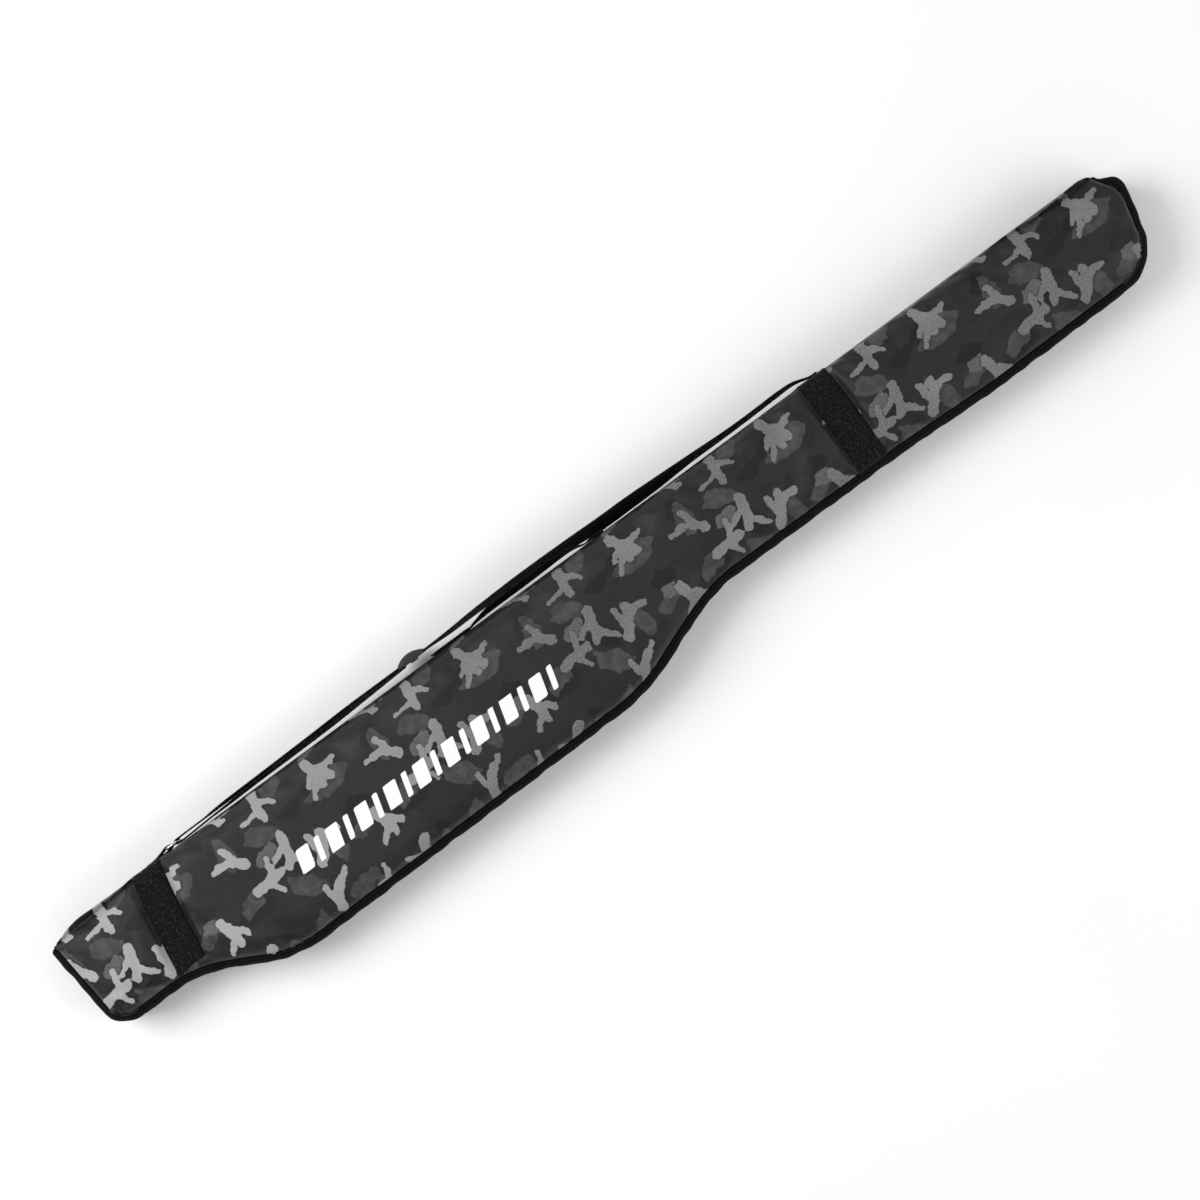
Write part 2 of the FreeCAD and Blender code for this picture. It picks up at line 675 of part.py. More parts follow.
def make_patches():
    """Anchor patches sewn over the flat ends of the carry handle."""
    for end, (start, finish) in PATCHES.items():
        body = new_body(f"handle_patch_{end}")
        low = size["webbing_thick"] + 2 * size["fit_gap"]
        outline = polygon([(start, low), (finish, low), (finish, low + PATCH_THICK),
                           (start, low + PATCH_THICK)])
        new_pad(body, "weave", outline, "Sizes.case_depth / 2",
                f"Sizes.handle_width + {PATCH_EXTRA}", midplane=True)


def make_strap():
    """Shoulder strap, its sewn ends and the carry handle."""
    width = "Sizes.webbing_width"
    flat = size["webbing_thick"] / 2 + size["fit_gap"]
    turn = size["ring_wire"] + size["fit_gap"] + size["webbing_thick"] / 2
    far = RING_BARS[1] - turn
    webbing("strap_end_ring", [END_OUTER, (far, RING_Y + turn, turn),
                               (far, RING_Y - turn - RING_PLAY, turn), END_INNER], width)
    webbing("strap_webbing", STRAP_ROUTE, width)
    webbing("strap_return", RETURN_ROUTE, width)
    webbing("strap_end_band", [(1044, 8.5, 0), (1062, 7.2, 20), (1074, flat, 6),
                               (1094, flat, 0)], width)
    webbing("carry_handle", [(552, flat, 0), (608, flat, 20), (642, 7.6, 60), (740, 9.0, 40),
                             (764, flat, 10), (790, flat, 0)], "Sizes.handle_width")


def make_adjuster():
    """Slide adjuster: an arched frame over the strap, two rails and a bar under it."""
    length, width = size["adjuster_length"], size["adjuster_width"]
    along = unit(STRAP_ROUTE[0], STRAP_ROUTE[1])
    angle = math.degrees(math.atan2(along[1], along[0]))
    rise = STRAP_START[1] + (ADJUSTER_PLACE - STRAP_START[0]) * along[1] / along[0]
    place = Placement(Vector(ADJUSTER_PLACE, rise, mid_z), Rotation(Vector(0, 0, 1), angle))
    over = size["webbing_thick"] / 2 + ADJUSTER_GAP
    arch = new_body("strap_adjuster_arch")
    arch.Placement = Placement()
    half = length / 2
    rim = over + ARCH_RIM
    outline = [
        Part.LineSegment(Vector(-half, over, 0), Vector(half, over, 0)),
        Part.LineSegment(Vector(half, over, 0), Vector(half, rim, 0)),
        Part.Arc(Vector(half, rim, 0), Vector(0, over + ARCH_RISE, 0), Vector(-half, rim, 0)),
        Part.LineSegment(Vector(-half, rim, 0), Vector(-half, over, 0)),
    ]
    new_pad(arch, "form", outline, None, "Sizes.adjuster_width", midplane=True)
    slots = []
    for side in (-1, 1):
        slot = doc.addObject("Part::Box", "adjuster_slot")
        slot.setExpression("Length", "Sizes.adjuster_length / 5")
        slot.Width = 3 * ARCH_RISE
        slot.setExpression("Height", "Sizes.webbing_width")
        corner = Vector((side * SLOT_PLACE - 0.1) * length, 0, -size["webbing_width"] / 2)
        slot.Placement = Placement(corner, Rotation())
        slots.append(slot)
    frame = combined("Part::Cut", "adjuster_frame",
                     (arch, combined("Part::MultiFuse", "adjuster_slots", slots)))
    rail_wide = (width - size["webbing_width"]) / 2 - ADJUSTER_GAP
    rails = []
    for side in (-1, 1):
        rail = doc.addObject("Part::Box", "adjuster_rail")
        rail.setExpression("Length", "Sizes.adjuster_length")
        rail.Width = 2 * over
        rail.Height = rail_wide
        low = width / 2 - rail_wide if side > 0 else -width / 2
        rail.Placement = Placement(Vector(-half, -over, low), Rotation())
        rails.append(rail)
    bar = doc.addObject("Part::Box", "adjuster_bar")
    bar.Length = BAR_LENGTH
    bar.Width = BAR_THICK
    bar.setExpression("Height", "Sizes.adjuster_width")
    corner = Vector(-BAR_LENGTH / 4, -over - BAR_THICK, -width / 2)
    bar.Placement = Placement(corner, Rotation())
    adjuster = combined("Part::MultiFuse", "strap_adjuster", [frame, bar] + rails)
    adjuster.Placement = BAG * place


def make_all():
    """Every sub-part of the case."""
    make_panels()
    make_spine_layers()
    make_edges()
    make_stops()
    make_slider("zip_slider_butt", size["slider_butt_place"])
    make_slider("zip_slider_tip", size["slider_tip_place"])
    make_pull("zip_pull_butt", size["slider_butt_place"], -1)
    make_pull("zip_pull_tip", size["slider_tip_place"], 1)
    swept_ring("strap_ring")
    make_ring_tab()
    make_patches()
    make_strap()
    make_adjuster()


# The pieces of the case; the document's other objects are construction forms.
PIECES = [
    "front_panel", "front_padding", "front_lining", "front_gusset", "front_piping",
    "front_zip_tape", "front_zip_coil", "butt_band_front", "tip_band_front",
    "back_panel", "back_padding", "back_lining", "back_gusset", "back_piping",
    "back_zip_tape", "back_zip_coil", "butt_band_back", "tip_band_back", "zip_stops",
    "spine_panel", "spine_padding", "spine_lining",
    "zip_slider_butt", "zip_slider_tip", "zip_pull_butt", "zip_pull_tip",
    "strap_ring", "ring_tab", "handle_patch_butt", "handle_patch_tip", "carry_handle",
    "strap_end_ring", "strap_end_band", "strap_webbing", "strap_return", "strap_adjuster",
]


def place_pieces():
    """Moves the pieces that are still in the pattern frame, and returns all pieces by label."""
    pieces = {label: doc.getObjectsByLabel(label)[0] for label in PIECES}
    for piece in pieces.values():
        if piece.Placement.isIdentity():
            piece.Placement = BAG
    doc.recompute()
    return pieces


def check_pieces(pieces):
    """Stops if an object of the document failed or a piece's shape isn't valid."""
    failed = [thing.Label for thing in doc.Objects if {"Invalid", "Error"} & set(thing.State)]
    failed += [label for label, piece in pieces.items()
               if piece.Shape.isNull() or not piece.Shape.isValid()]
    if failed:
        raise SystemExit(f"these did not build: {failed}")


def write_pieces(pieces):
    """Writes each piece to its own STEP file."""
    os.makedirs("parts", exist_ok=True)
    for label, piece in pieces.items():
        piece.Shape.exportStep(f"parts/{label}.step")
        print(label, len(piece.Shape.Solids), round(piece.Shape.Volume / 1000, 2), "cm3")


make_all()
doc.recompute()
parts = place_pieces()
check_pieces(parts)
write_pieces(parts)
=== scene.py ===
"""Looks of a padded fishing-rod case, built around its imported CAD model.

Shapes are worked out in the case's pattern frame, in millimetres: x runs from the butt end to the
tip, y is 0 along the straight edge and negative across the case, z is 0 under the back panel.
metres() turns them into the row frame.
"""

import math

import bmesh
import bpy
import numpy as np
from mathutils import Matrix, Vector


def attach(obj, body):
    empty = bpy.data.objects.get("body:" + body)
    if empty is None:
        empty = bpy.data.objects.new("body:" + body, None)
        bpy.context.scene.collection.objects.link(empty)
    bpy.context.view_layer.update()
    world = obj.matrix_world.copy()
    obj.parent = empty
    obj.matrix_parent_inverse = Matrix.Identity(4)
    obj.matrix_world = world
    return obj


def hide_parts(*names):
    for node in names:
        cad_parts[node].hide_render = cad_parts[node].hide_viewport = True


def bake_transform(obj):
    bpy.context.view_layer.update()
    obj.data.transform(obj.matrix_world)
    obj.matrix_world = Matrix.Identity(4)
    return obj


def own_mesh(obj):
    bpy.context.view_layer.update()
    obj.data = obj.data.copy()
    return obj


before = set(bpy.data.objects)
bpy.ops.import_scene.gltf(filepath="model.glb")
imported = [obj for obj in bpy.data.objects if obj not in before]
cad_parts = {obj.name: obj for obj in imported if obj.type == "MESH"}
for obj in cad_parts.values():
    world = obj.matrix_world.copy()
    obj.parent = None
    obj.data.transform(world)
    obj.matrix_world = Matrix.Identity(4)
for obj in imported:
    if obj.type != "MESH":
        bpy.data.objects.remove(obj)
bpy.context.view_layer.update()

PATTERN_ORIGIN = np.array([-0.750, 0.082, 0.0])
DEPTH = 76.0
MIDDLE = DEPTH / 2

# Corners of the outline seen from the front: x, y and the radius of the bend there.
TIP_SHOULDER = (1459, 0, 24)
TIP_TOP = (1503.5, -23.8, 16)
LOW_EDGE = [(1477, -133, 62), (1240, -135.2, 1200), (1120, -130.2, 1200), (852, -129.2, 200),
            (721, -178.5, 220), (224, -184.6, 150), (124, -132, 140), (10.5, -132.5, 33)]
BUTT_TOP = (0.5, -12.5, 10)
BUTT_SHOULDER = (50, 0, 100)
PANEL_TIP = (1469.58, -5.66, 6)
PANEL_END = (1497.5, -48.5, 45)
GUSSET_START = (1468, -4.81, 0)
GUSSET_END = (0.87, -17, 0)
PANEL_CORNERS = [PANEL_TIP, PANEL_END] + LOW_EDGE + [BUTT_TOP, BUTT_SHOULDER, TIP_SHOULDER]
# Places in PANEL_CORNERS of the lower and the upper corner at the butt end.
BUTT_CORNERS = (9, 10)
# Length and width of a panel, for spacing its grid.
PANEL_LONG = 1470.0
PANEL_WIDE = 128.0
HALVES = (("front", True), ("back", False))

# Section of the case: seams, folds and the round lobes of the gusset.
SEAM_INSET = 10.49
SEAM_Z = 66.0
FOLD = 8.0
LOBE = 12.7
LOBE_Z = 53.49
LOBE_THICK = 1.6
LOBE_ZIP_ANGLE = -58
LOBE_TOP_ANGLE = 80
SHELL_THICK = 1.6
FLANGE = 12.0
PIPING_RADIUS = 1.9
PIPING_OUT = 1.4
PIPING_Z = 67.2
PIPING_STITCH = 4.2
PIPING_DIP = 0.16
TAPE_OUT = -7.1
TAPE_THICK = 0.8
TAPE_HEIGHTS = (38.3, 46.3)
# Length of the cloth simulation, and the furthest that it may move the cover.
CLOTH_FRAMES = 24
CRUMPLE_CAP = 5.0
# How far the padding lifts the front panel, and within what distance of its edges it does so.
CROWN_LIFT = 6.0
CROWN_REACH = 62.0
# Above the depth of the case by FREE_LIFT, folds are eased to at most EASED_LIFT more.
FREE_LIFT = 8.0
EASED_LIFT = 3.2

# Soft creases of the front cover: two ends, half width and height.
CREASES = [
    ((14, -88), (66, -112), 4.5, 1.5), ((24, -118), (84, -104), 4.0, 1.3),
    ((50, -14), (96, -92), 7.0, 1.0), ((96, -40), (60, -120), 6.0, -1.2),
    ((176, -122), (262, -172), 7.0, 1.4), ((215, -24), (250, -120), 11.0, 0.9),
    ((470, -30), (540, -150), 13.0, 1.0), ((715, -150), (772, -92), 9.0, 1.3),
    ((842, -30), (936, -106), 10.0, 1.2), ((1012, -28), (1052, -106), 8.0, 1.0),
    ((1112, -24), (1158, -108), 8.0, 1.2), ((1180, -18), (1272, -92), 8.0, 1.7),
    ((1206, -12), (1306, -70), 7.0, -1.4), ((1330, -18), (1404, -100), 9.0, 1.3),
    ((1392, -108), (1484, -56), 8.0, 1.4), ((1440, -14), (1486, -74), 7.0, 1.1),
]

# Webbing bands: x of the middle at the straight edge, its change per millimetre across the case,
# and how far the middle of the band bows towards the tip.
BANDS = {"butt": (146.0, 0.1785, -1.5), "tip": (1081.0, 0.0077, 2.5)}
WEBBING = 38.0
# Where the seams at the far ends of the bands are.
BAND_FAR = {"butt": -132.5, "tip": -130.4}
BAND_BOW_AT = 62
BAND_LIFT = 0.9
BAND_THICK = 1.3
# Where the two rows of stitches run, from the middle of a band.
BAND_SEAM = 16.6
# The lowest that the back of a band may lie.
BAND_FLOOR = 0.1
STITCH_PITCH = 4.0
STITCH_LENGTH = 2.7
STITCH_RADIUS = 0.3


# ---------------------------------------------------------------- outlines and curves

def metres(points):
    """Pattern millimetres to row-frame metres."""
    return np.asarray(points, float) / 1000 + PATTERN_ORIGIN


def unit(start, end):
    """Direction from one corner to the next."""
    length = math.hypot(end[0] - start[0], end[1] - start[1])
    return (end[0] - start[0]) / length, (end[1] - start[1]) / length


def edge_point(start, end, distance):
    """A corner without a bend on a straight edge, at a distance from the edge's start."""
    along = unit(start, end)
    return start[0] + along[0] * distance, start[1] + along[1] * distance, 0


def crossing(first, second):
    """Where two lines, each a point and a direction, meet."""
    (px, py), (ux, uy) = first
    (qx, qy), (vx, vy) = second
    reach = ((qx - px) * vy - (qy - py) * vx) / (ux * vy - uy * vx)
    return px + ux * reach, py + uy * reach


def inset_corners(corners, insets):
    """Corners of a closed clockwise outline after each edge moves inwards by its own inset."""
    count = len(corners)
    lines = []
    for i, corner in enumerate(corners):
        along = unit(corner, corners[(i + 1) % count])
        start = (corner[0] + along[1] * insets[i], corner[1] - along[0] * insets[i])
        lines.append((start, along))
    moved = []
    for i, corner in enumerate(corners):
        before, after = lines[i - 1], lines[i]
        turn = before[1][0] * after[1][1] - before[1][1] * after[1][0]
        inset = max(insets[i - 1], insets[i], key=abs)
        radius = corner[2] - inset if turn < 0 else corner[2] + inset
        moved.append((*crossing(before, after), max(radius, 0.5)))
    return moved


def unit_rows(rows):
    """Rows scaled to length one."""
    return rows / np.linalg.norm(rows, axis=1)[:, None]


def run_along(line):
    """Distance along a line at each of its points."""
    steps = np.linalg.norm(np.diff(line, axis=0), axis=1)
    return np.concatenate([[0], np.cumsum(steps)])


def read_at(wanted, places, rows):
    """Rows interpolated at the wanted places, from rows at known places."""
    return np.column_stack([np.interp(wanted, places, column) for column in rows.T])


def resample(points, count):
    """The same line with evenly spaced points."""
    points = np.asarray(points, float)
    places = run_along(points)
    return read_at(np.linspace(0, places[-1], count), places, points)


def rounded(corners, closed):
    """Points along straight and round edges through the corners, and each bend's middle point."""
    count = len(corners)
    step = 0.6
    points = []
    bends = []
    for i, (x, y, radius) in enumerate(corners):
        if not closed and i in (0, count - 1):
            bends.append(len(points))
            points.append((x, y))
            continue
        before = unit(corners[i - 1], corners[i])
        after = unit(corners[i], corners[(i + 1) % count])
        turn = before[0] * after[1] - before[1] * after[0]
        angle = math.atan2(abs(turn), before[0] * after[0] + before[1] * after[1])
        reach = radius * math.tan(angle / 2)
        side = 1 if turn > 0 else -1
        start = (x - before[0] * reach, y - before[1] * reach)
        centre = (start[0] - before[1] * side * radius, start[1] + before[0] * side * radius)
        first = math.atan2(start[1] - centre[1], start[0] - centre[0])
        pieces = 2 * max(2, math.ceil(radius * angle / step / 2))
        bends.append(len(points) + pieces // 2)
        for k in range(pieces + 1):
            at = first + side * angle * k / pieces
            points.append((centre[0] + radius * math.cos(at), centre[1] + radius * math.sin(at)))
    return np.array(points), bends


def spline(controls, step):
    """A smooth line through control rows (x, y, z and anything else), resampled evenly."""
    controls = np.asarray(controls, float)
    padded = np.vstack([2 * controls[0] - controls[1], controls, 2 * controls[-1] - controls[-2]])
    rows = []
    for i in range(1, len(padded) - 2):
        a, b, c, d = padded[i - 1:i + 3]
        for t in np.linspace(0, 1, 24, endpoint=False):
            rows.append(0.5 * (2 * b + (c - a) * t + (2 * a - 5 * b + 4 * c - d) * t ** 2
                               + (3 * b - a - 3 * c + d) * t ** 3))
    rows.append(controls[-1])
    rows = np.array(rows)
    places = run_along(rows[:, :3])
    wanted = np.linspace(0, places[-1], max(2, int(places[-1] / step) + 1))
    return read_at(wanted, places, rows)


def ripple(place, periods, phase):
    """A smooth, uneven wave between about -1 and 1 that never repeats exactly."""
    total = sum(np.sin(2 * math.pi * place / period + phase * (i + 1) * 1.7 + i * i)
                for i, period in enumerate(periods))
    return total / len(periods)


def smoothstep(low, high, value):
    """0 below low, 1 above high and smooth between."""
    t = np.clip((value - low) / (high - low), 0, 1)
    return t * t * (3 - 2 * t)


# ---------------------------------------------------------------- meshes

def new_mesh(name, points, faces, material, uvs=None):
    """An object from pattern-frame points and faces; uvs holds one pair in metres per point."""
    mesh = bpy.data.meshes.new(name)
    mesh.from_pydata([tuple(p) for p in metres(points)], [], [tuple(f) for f in faces])
    if uvs is not None:
        corners = np.zeros(len(mesh.loops), np.int32)
        mesh.loops.foreach_get("vertex_index", corners)
        layer = mesh.uv_layers.new(name="UVMap")
        layer.data.foreach_set("uv", np.asarray(uvs, np.float32)[corners].ravel())
    mesh.shade_smooth()
    mesh.materials.append(material)
    mesh.validate()
    thing = bpy.data.objects.new(name, mesh)
    bpy.context.scene.collection.objects.link(thing)
    return thing


def grid_faces(rows, columns):
    """Quads of a grid whose points run along each row in turn."""
    faces = []
    for i in range(rows - 1):
        here, there = i * columns, (i + 1) * columns
        for j in range(columns - 1):
            faces.append((here + j, here + j + 1, there + j + 1, there + j))
    return faces


def tube_faces(stations, around):
    """Faces of a tube with capped ends, whose points run around each station in turn."""
    faces = grid_faces(stations, around)
    for i in range(stations - 1):
        here, there = i * around, (i + 1) * around
        faces.append((here + around - 1, here, there, there + around - 1))
    last = (stations - 1) * around
    faces.append(tuple(range(around - 1, -1, -1)))
    faces.append(tuple(range(last, last + around)))
    return faces


def apply_modifiers(thing):
    """Replaces a mesh by what its modifiers make of it."""
    made = bpy.data.meshes.new_from_object(
        thing.evaluated_get(bpy.context.evaluated_depsgraph_get()))
    thing.modifiers.clear()
    thing.data = made


def thicken(thing, thick, offset=-1.0):
    """Gives a single sheet its thickness, in millimetres, on its inner side."""
    solid = thing.modifiers.new("thickness", "SOLIDIFY")
    solid.thickness = thick / 1000
    solid.offset = offset
    apply_modifiers(thing)


def edge_route(corners, step=3.0):
    """Evenly spaced points of an outline, their outward directions and distances along it."""
    dense, _ = rounded(corners, False)
    length = np.linalg.norm(np.diff(dense, axis=0), axis=1).sum()
    points = resample(dense, int(length / step) + 1)
    tangent = unit_rows(np.gradient(points, axis=0))
    outward = np.column_stack([-tangent[:, 1], tangent[:, 0]])
    return points, outward, np.linspace(0, length, len(points))


def sweep(name, route, section, material):
    """A closed section carried along a route. section(along) gives its distances outwards and
    its heights, as two arrays of stations by section points."""
    points, outward, along = route
    out, height = section(along)
    stations, around = out.shape
    xy = points[:, None, :] + outward[:, None, :] * out[:, :, None]
    places = np.dstack([xy, height]).reshape(-1, 3)
    girth = run_along(np.column_stack([out[0], height[0]]))
    uvs = np.dstack(np.meshgrid(along, girth, indexing="ij")).reshape(-1, 2) / 1000
    return outwards(new_mesh(name, places, tube_faces(stations, around), material, uvs))


def outwards(thing):
    """Points every face of a closed mesh outwards."""
    work = bmesh.new()
    work.from_mesh(thing.data)
    bmesh.ops.recalc_face_normals(work, faces=work.faces)
    work.to_mesh(thing.data)
    work.free()
    return thing


def flipped(height, front):
    """A height in the front half, or its mirror image in the back half."""
    return height if front else DEPTH - height


# ---------------------------------------------------------------- materials

def srgb(level, tint=(1.0, 1.0, 1.0)):
    """Linear colour of an sRGB grey from 0 to 255, slightly tinted."""
    value = level / 255
    linear = value / 12.92 if value <= 0.04045 else ((value + 0.055) / 1.055) ** 2.4
    return tuple(linear * t for t in tint) + (1.0,)


class Shader:
    """One node material under construction."""

    def __init__(self, name, roughness, specular=0.3, metallic=0.0, sheen=0.0):
        self.material = bpy.data.materials.new(name)
        self.material.use_nodes = True
        self.tree = self.material.node_tree
        self.surface = self.tree.nodes["Principled BSDF"]
        self.surface.inputs["Roughness"].default_value = roughness
        self.surface.inputs["Specular IOR Level"].default_value = specular
        self.surface.inputs["Metallic"].default_value = metallic
        self.surface.inputs["Sheen Weight"].default_value = sheen
        self.surface.inputs["Sheen Roughness"].default_value = 0.5

    def add(self, kind, inputs=None, **settings):
        """Adds a node; inputs are numbers, colours or the sockets that feed it."""
        node = self.tree.nodes.new(kind)
        for name, value in settings.items():
            setattr(node, name, value)
        for name, value in (inputs or {}).items():
            self.feed(node.inputs[name], value)
        return node

    def feed(self, socket, value):
        """Sets or links one input."""
        if isinstance(value, bpy.types.NodeSocket):
            self.tree.links.new(value, socket)
        else:
            socket.default_value = value

    def math(self, operation, first, second=0.0, third=0.0):
        """Result of one arithmetic node."""
        node = self.add("ShaderNodeMath", {0: first, 1: second, 2: third}, operation=operation)
        return node.outputs[0]

    def mix(self, factor, first, second):
        """A colour between two."""
        node = self.add("ShaderNodeMix", {0: factor, 6: first, 7: second}, data_type="RGBA")
        return node.outputs[2]

    def uv(self):
        """Surface coordinates in metres, along and across."""
        return self.add("ShaderNodeUVMap", uv_map="UVMap").outputs["UV"]

    def place(self):
        """Coordinates of the object, in metres."""
        return self.add("ShaderNodeTexCoord").outputs["Object"]

    def split(self, vector):
        """The three numbers of a vector."""
        return self.add("ShaderNodeSeparateXYZ", {0: vector}).outputs

    def noise(self, vector, scale, detail, roughness=0.5):
        """Noise from 0 to 1, with about scale features per metre."""
        node = self.add("ShaderNodeTexNoise", {"Vector": vector, "Scale": scale,
                                               "Detail": detail, "Roughness": roughness})
        return node.outputs["Fac"]

    def step(self, value, low, high):
        """Smooth step of a number from 0 at low to 1 at high."""
        node = self.add("ShaderNodeMapRange", {"Value": value, "From Min": low, "From Max": high},
                        interpolation_type="SMOOTHSTEP")
        return node.outputs["Result"]

    def bump(self, height, distance, strength, below=None):
        """A bump of a height from 0 to 1; distance is its depth in metres."""
        inputs = {"Height": height, "Distance": distance, "Strength": strength}
        if below:
            inputs["Normal"] = below
        return self.add("ShaderNodeBump", inputs).outputs["Normal"]

    def done(self, color, normal=None, roughness=None):
        """Links the last colour, normal and roughness, and returns the material."""
        self.feed(self.surface.inputs["Base Color"], color)
        if normal:
            self.feed(self.surface.inputs["Normal"], normal)
        if roughness:
            self.feed(self.surface.inputs["Roughness"], roughness)
        return self.material


def weave(shader, uv, warp, weft):
    """Height of a plain weave from 0 to 1, with threads of two widths in metres."""
    across = shader.split(uv)
    u = shader.math("DIVIDE", across[0], warp)
    v = shader.math("DIVIDE", across[1], weft)
    shift = shader.math("MULTIPLY", shader.math("FLOOR", v), 0.5)
    over = shader.math("SINE", shader.math("MULTIPLY", shader.math("ADD", u, shift), 2 * math.pi))
    thread = shader.math("ABSOLUTE", shader.math("SINE", shader.math("MULTIPLY", v, math.pi)))
    lifted = shader.math("MULTIPLY_ADD", over, 0.35, 0.65)
    return shader.math("MULTIPLY", lifted, thread)


def camo_material():
    """Coated camouflage fabric: printed shapes with ragged pebbly edges over a fine weave."""
    s = Shader("camo_fabric", 0.5, specular=0.24, sheen=0.0)
    uv = s.uv()
    grain = s.noise(uv, 900, 3.0, 0.6)
    pebble = s.noise(uv, 560, 2.0, 0.55)
    nibble = s.noise(uv, 125, 1.0, 0.5)
    ragged = s.math("MULTIPLY_ADD", grain, 1.6, -0.8)
    ragged = s.math("ADD", ragged, s.math("MULTIPLY_ADD", nibble, 6.4, -3.4))

    def shape(name, soft=0.35, ragged_by=1.0, grow=0.0):
        inside = s.add("ShaderNodeAttribute", attribute_name=name).outputs["Fac"]
        rough = s.math("MULTIPLY_ADD", ragged, ragged_by, s.math("ADD", inside, grow))
        return s.step(rough, -soft, soft), inside

    drift = s.noise(uv, 9.0, 1.0)
    patches = s.add("ShaderNodeTexVoronoi", {"Vector": uv, "Scale": 17.0, "Randomness": 1.0})
    patch = s.split(patches.outputs["Color"])
    base = s.mix(s.step(patch[0], 0.35, 0.65), srgb(25, (0.97, 1.0, 1.0)), srgb(33))
    base = s.mix(s.step(drift, 0.45, 0.62), base, srgb(29, (0.97, 1.03, 1.0)))
    mottle = s.step(s.noise(uv, 95, 2.0), 0.3, 0.75)
    base = s.mix(s.math("MULTIPLY", mottle, 0.3), base, srgb(42))

    dark, _ = shape("print_dark", 1.2, 0.7)
    mid, _ = shape("print_mid", 0.6, 1.2, 1.2)
    soft, _ = shape("print_soft", 0.4, 1.0, 0.8)
    light, inside = shape("print_light")
    mark = s.add("ShaderNodeAttribute", attribute_name="print_mark").outputs["Fac"]
    mark = s.step(mark, -0.15, 0.15)

    color = s.mix(dark, base, srgb(20))
    color = s.mix(mid, color, s.mix(mottle, srgb(52, (0.98, 1.03, 1.02)), srgb(70)))
    color = s.mix(soft, color, s.mix(s.step(pebble, 0.35, 0.65), srgb(72), srgb(96)))
    halo = s.math("MULTIPLY", s.step(inside, -3.2, -0.6), s.step(grain, 0.5, 0.62))
    color = s.mix(halo, color, srgb(17))
    pale = s.mix(s.step(pebble, 0.32, 0.68), srgb(84), srgb(118, (1.0, 1.01, 1.0)))
    pale = s.mix(s.step(grain, 0.62, 0.8), pale, srgb(68))
    rubbed = s.step(s.noise(uv, 7.0, 2.0), 0.42, 0.66)
    pale = s.mix(s.math("MULTIPLY", rubbed, 0.3), pale, srgb(150))
    # Pale branches lighter towards the butt end: painted light and sheen falling from the butt
    # side, partly also the print's own tone.
    butt_painted_light_and_tone = s.step(s.split(uv)[0], 0.68, 0.12)
    pale = s.mix(s.math("MULTIPLY", butt_painted_light_and_tone, 0.62), pale, srgb(176))
    color = s.mix(light, color, pale)
    color = s.mix(mark, color, srgb(236))

    cloth = weave(s, uv, 0.0011, 0.0011)
    normal = s.bump(cloth, 0.00022, 0.55)
    normal = s.bump(pebble, 0.0006, 0.35, normal)
    shine = s.math("MULTIPLY_ADD", pebble, 0.2, 0.32)
    return s.done(color, normal, shine)


def cloth_material(name, level, warp, roughness=0.75, tint=(1.0, 1.0, 1.0)):
    """Plain woven cloth in one dark colour, with painted shade between its threads and faded
    threads here and there.
    """
    s = Shader(name, roughness, specular=0.06, sheen=0.01)
    uv = s.uv()
    threads = weave(s, uv, warp, warp)
    worn = s.step(s.noise(uv, 60, 3.0), 0.45, 0.8)
    # Painted shade: the gaps between the threads are darker than the raised threads.
    color = s.mix(threads, srgb(level * 0.6, tint), srgb(level, tint))
    color = s.mix(s.math("MULTIPLY", worn, 0.3), color, srgb(level * 1.5, tint))
    normal = s.bump(threads, 0.00035, 0.8)
    return s.done(color, s.bump(s.noise(uv, 150, 2.0), 0.0006, 0.25, normal))


def webbing_material():
    """Black ribbed webbing: wide threads in staggered rows and a tight selvedge."""
    s = Shader("webbing", 0.6, specular=0.1, sheen=0.01)
    uv = s.uv()
    threads = weave(s, uv, 0.0046, 0.0023)
    fuzz = s.noise(uv, 900, 2.0)
    glint = s.step(s.noise(uv, 330, 2.0), 0.5, 0.7)
    # Painted shade and highlights: the gaps between the threads are near black, and painted glints
    # lighten the tops of the raised threads.
    color = s.mix(threads, srgb(2), s.mix(glint, srgb(22), srgb(66, (1.0, 1.01, 1.03))))
    color = s.mix(s.step(fuzz, 0.66, 0.8), color, srgb(34))
    normal = s.bump(threads, 0.0011, 1.0)
    return s.done(color, s.bump(fuzz, 0.0002, 0.4, normal))


def plastic_material(name, level, roughness):
    """Moulded plastic with a fine spark-eroded texture and rubbed patches."""
    s = Shader(name, roughness, specular=0.3)
    place = s.place()
    fine = s.noise(place, 700, 2.0)
    rubbed = s.step(s.noise(place, 70, 3.0), 0.45, 0.7)
    color = s.mix(rubbed, srgb(level), srgb(level * 1.22))
    shine = s.math("MULTIPLY_ADD", rubbed, -0.12, roughness)
    return s.done(color, s.bump(fine, 0.0002, 0.35), shine)


def metal_material(name, level, roughness, metallic=1.0):
    """Plated or enamelled metal with drawing lines and small scuffs."""
    s = Shader(name, roughness, specular=0.5, metallic=metallic)
    place = s.place()
    scuffs = s.step(s.noise(place, 420, 3.0), 0.55, 0.7)
    color = s.mix(s.noise(place, 90, 2.0), srgb(level * 0.88), srgb(level))
    shine = s.math("MULTIPLY_ADD", scuffs, 0.18, roughness)
    return s.done(color, s.bump(s.noise(place, 1500, 1.0), 0.00006, 0.4), shine)


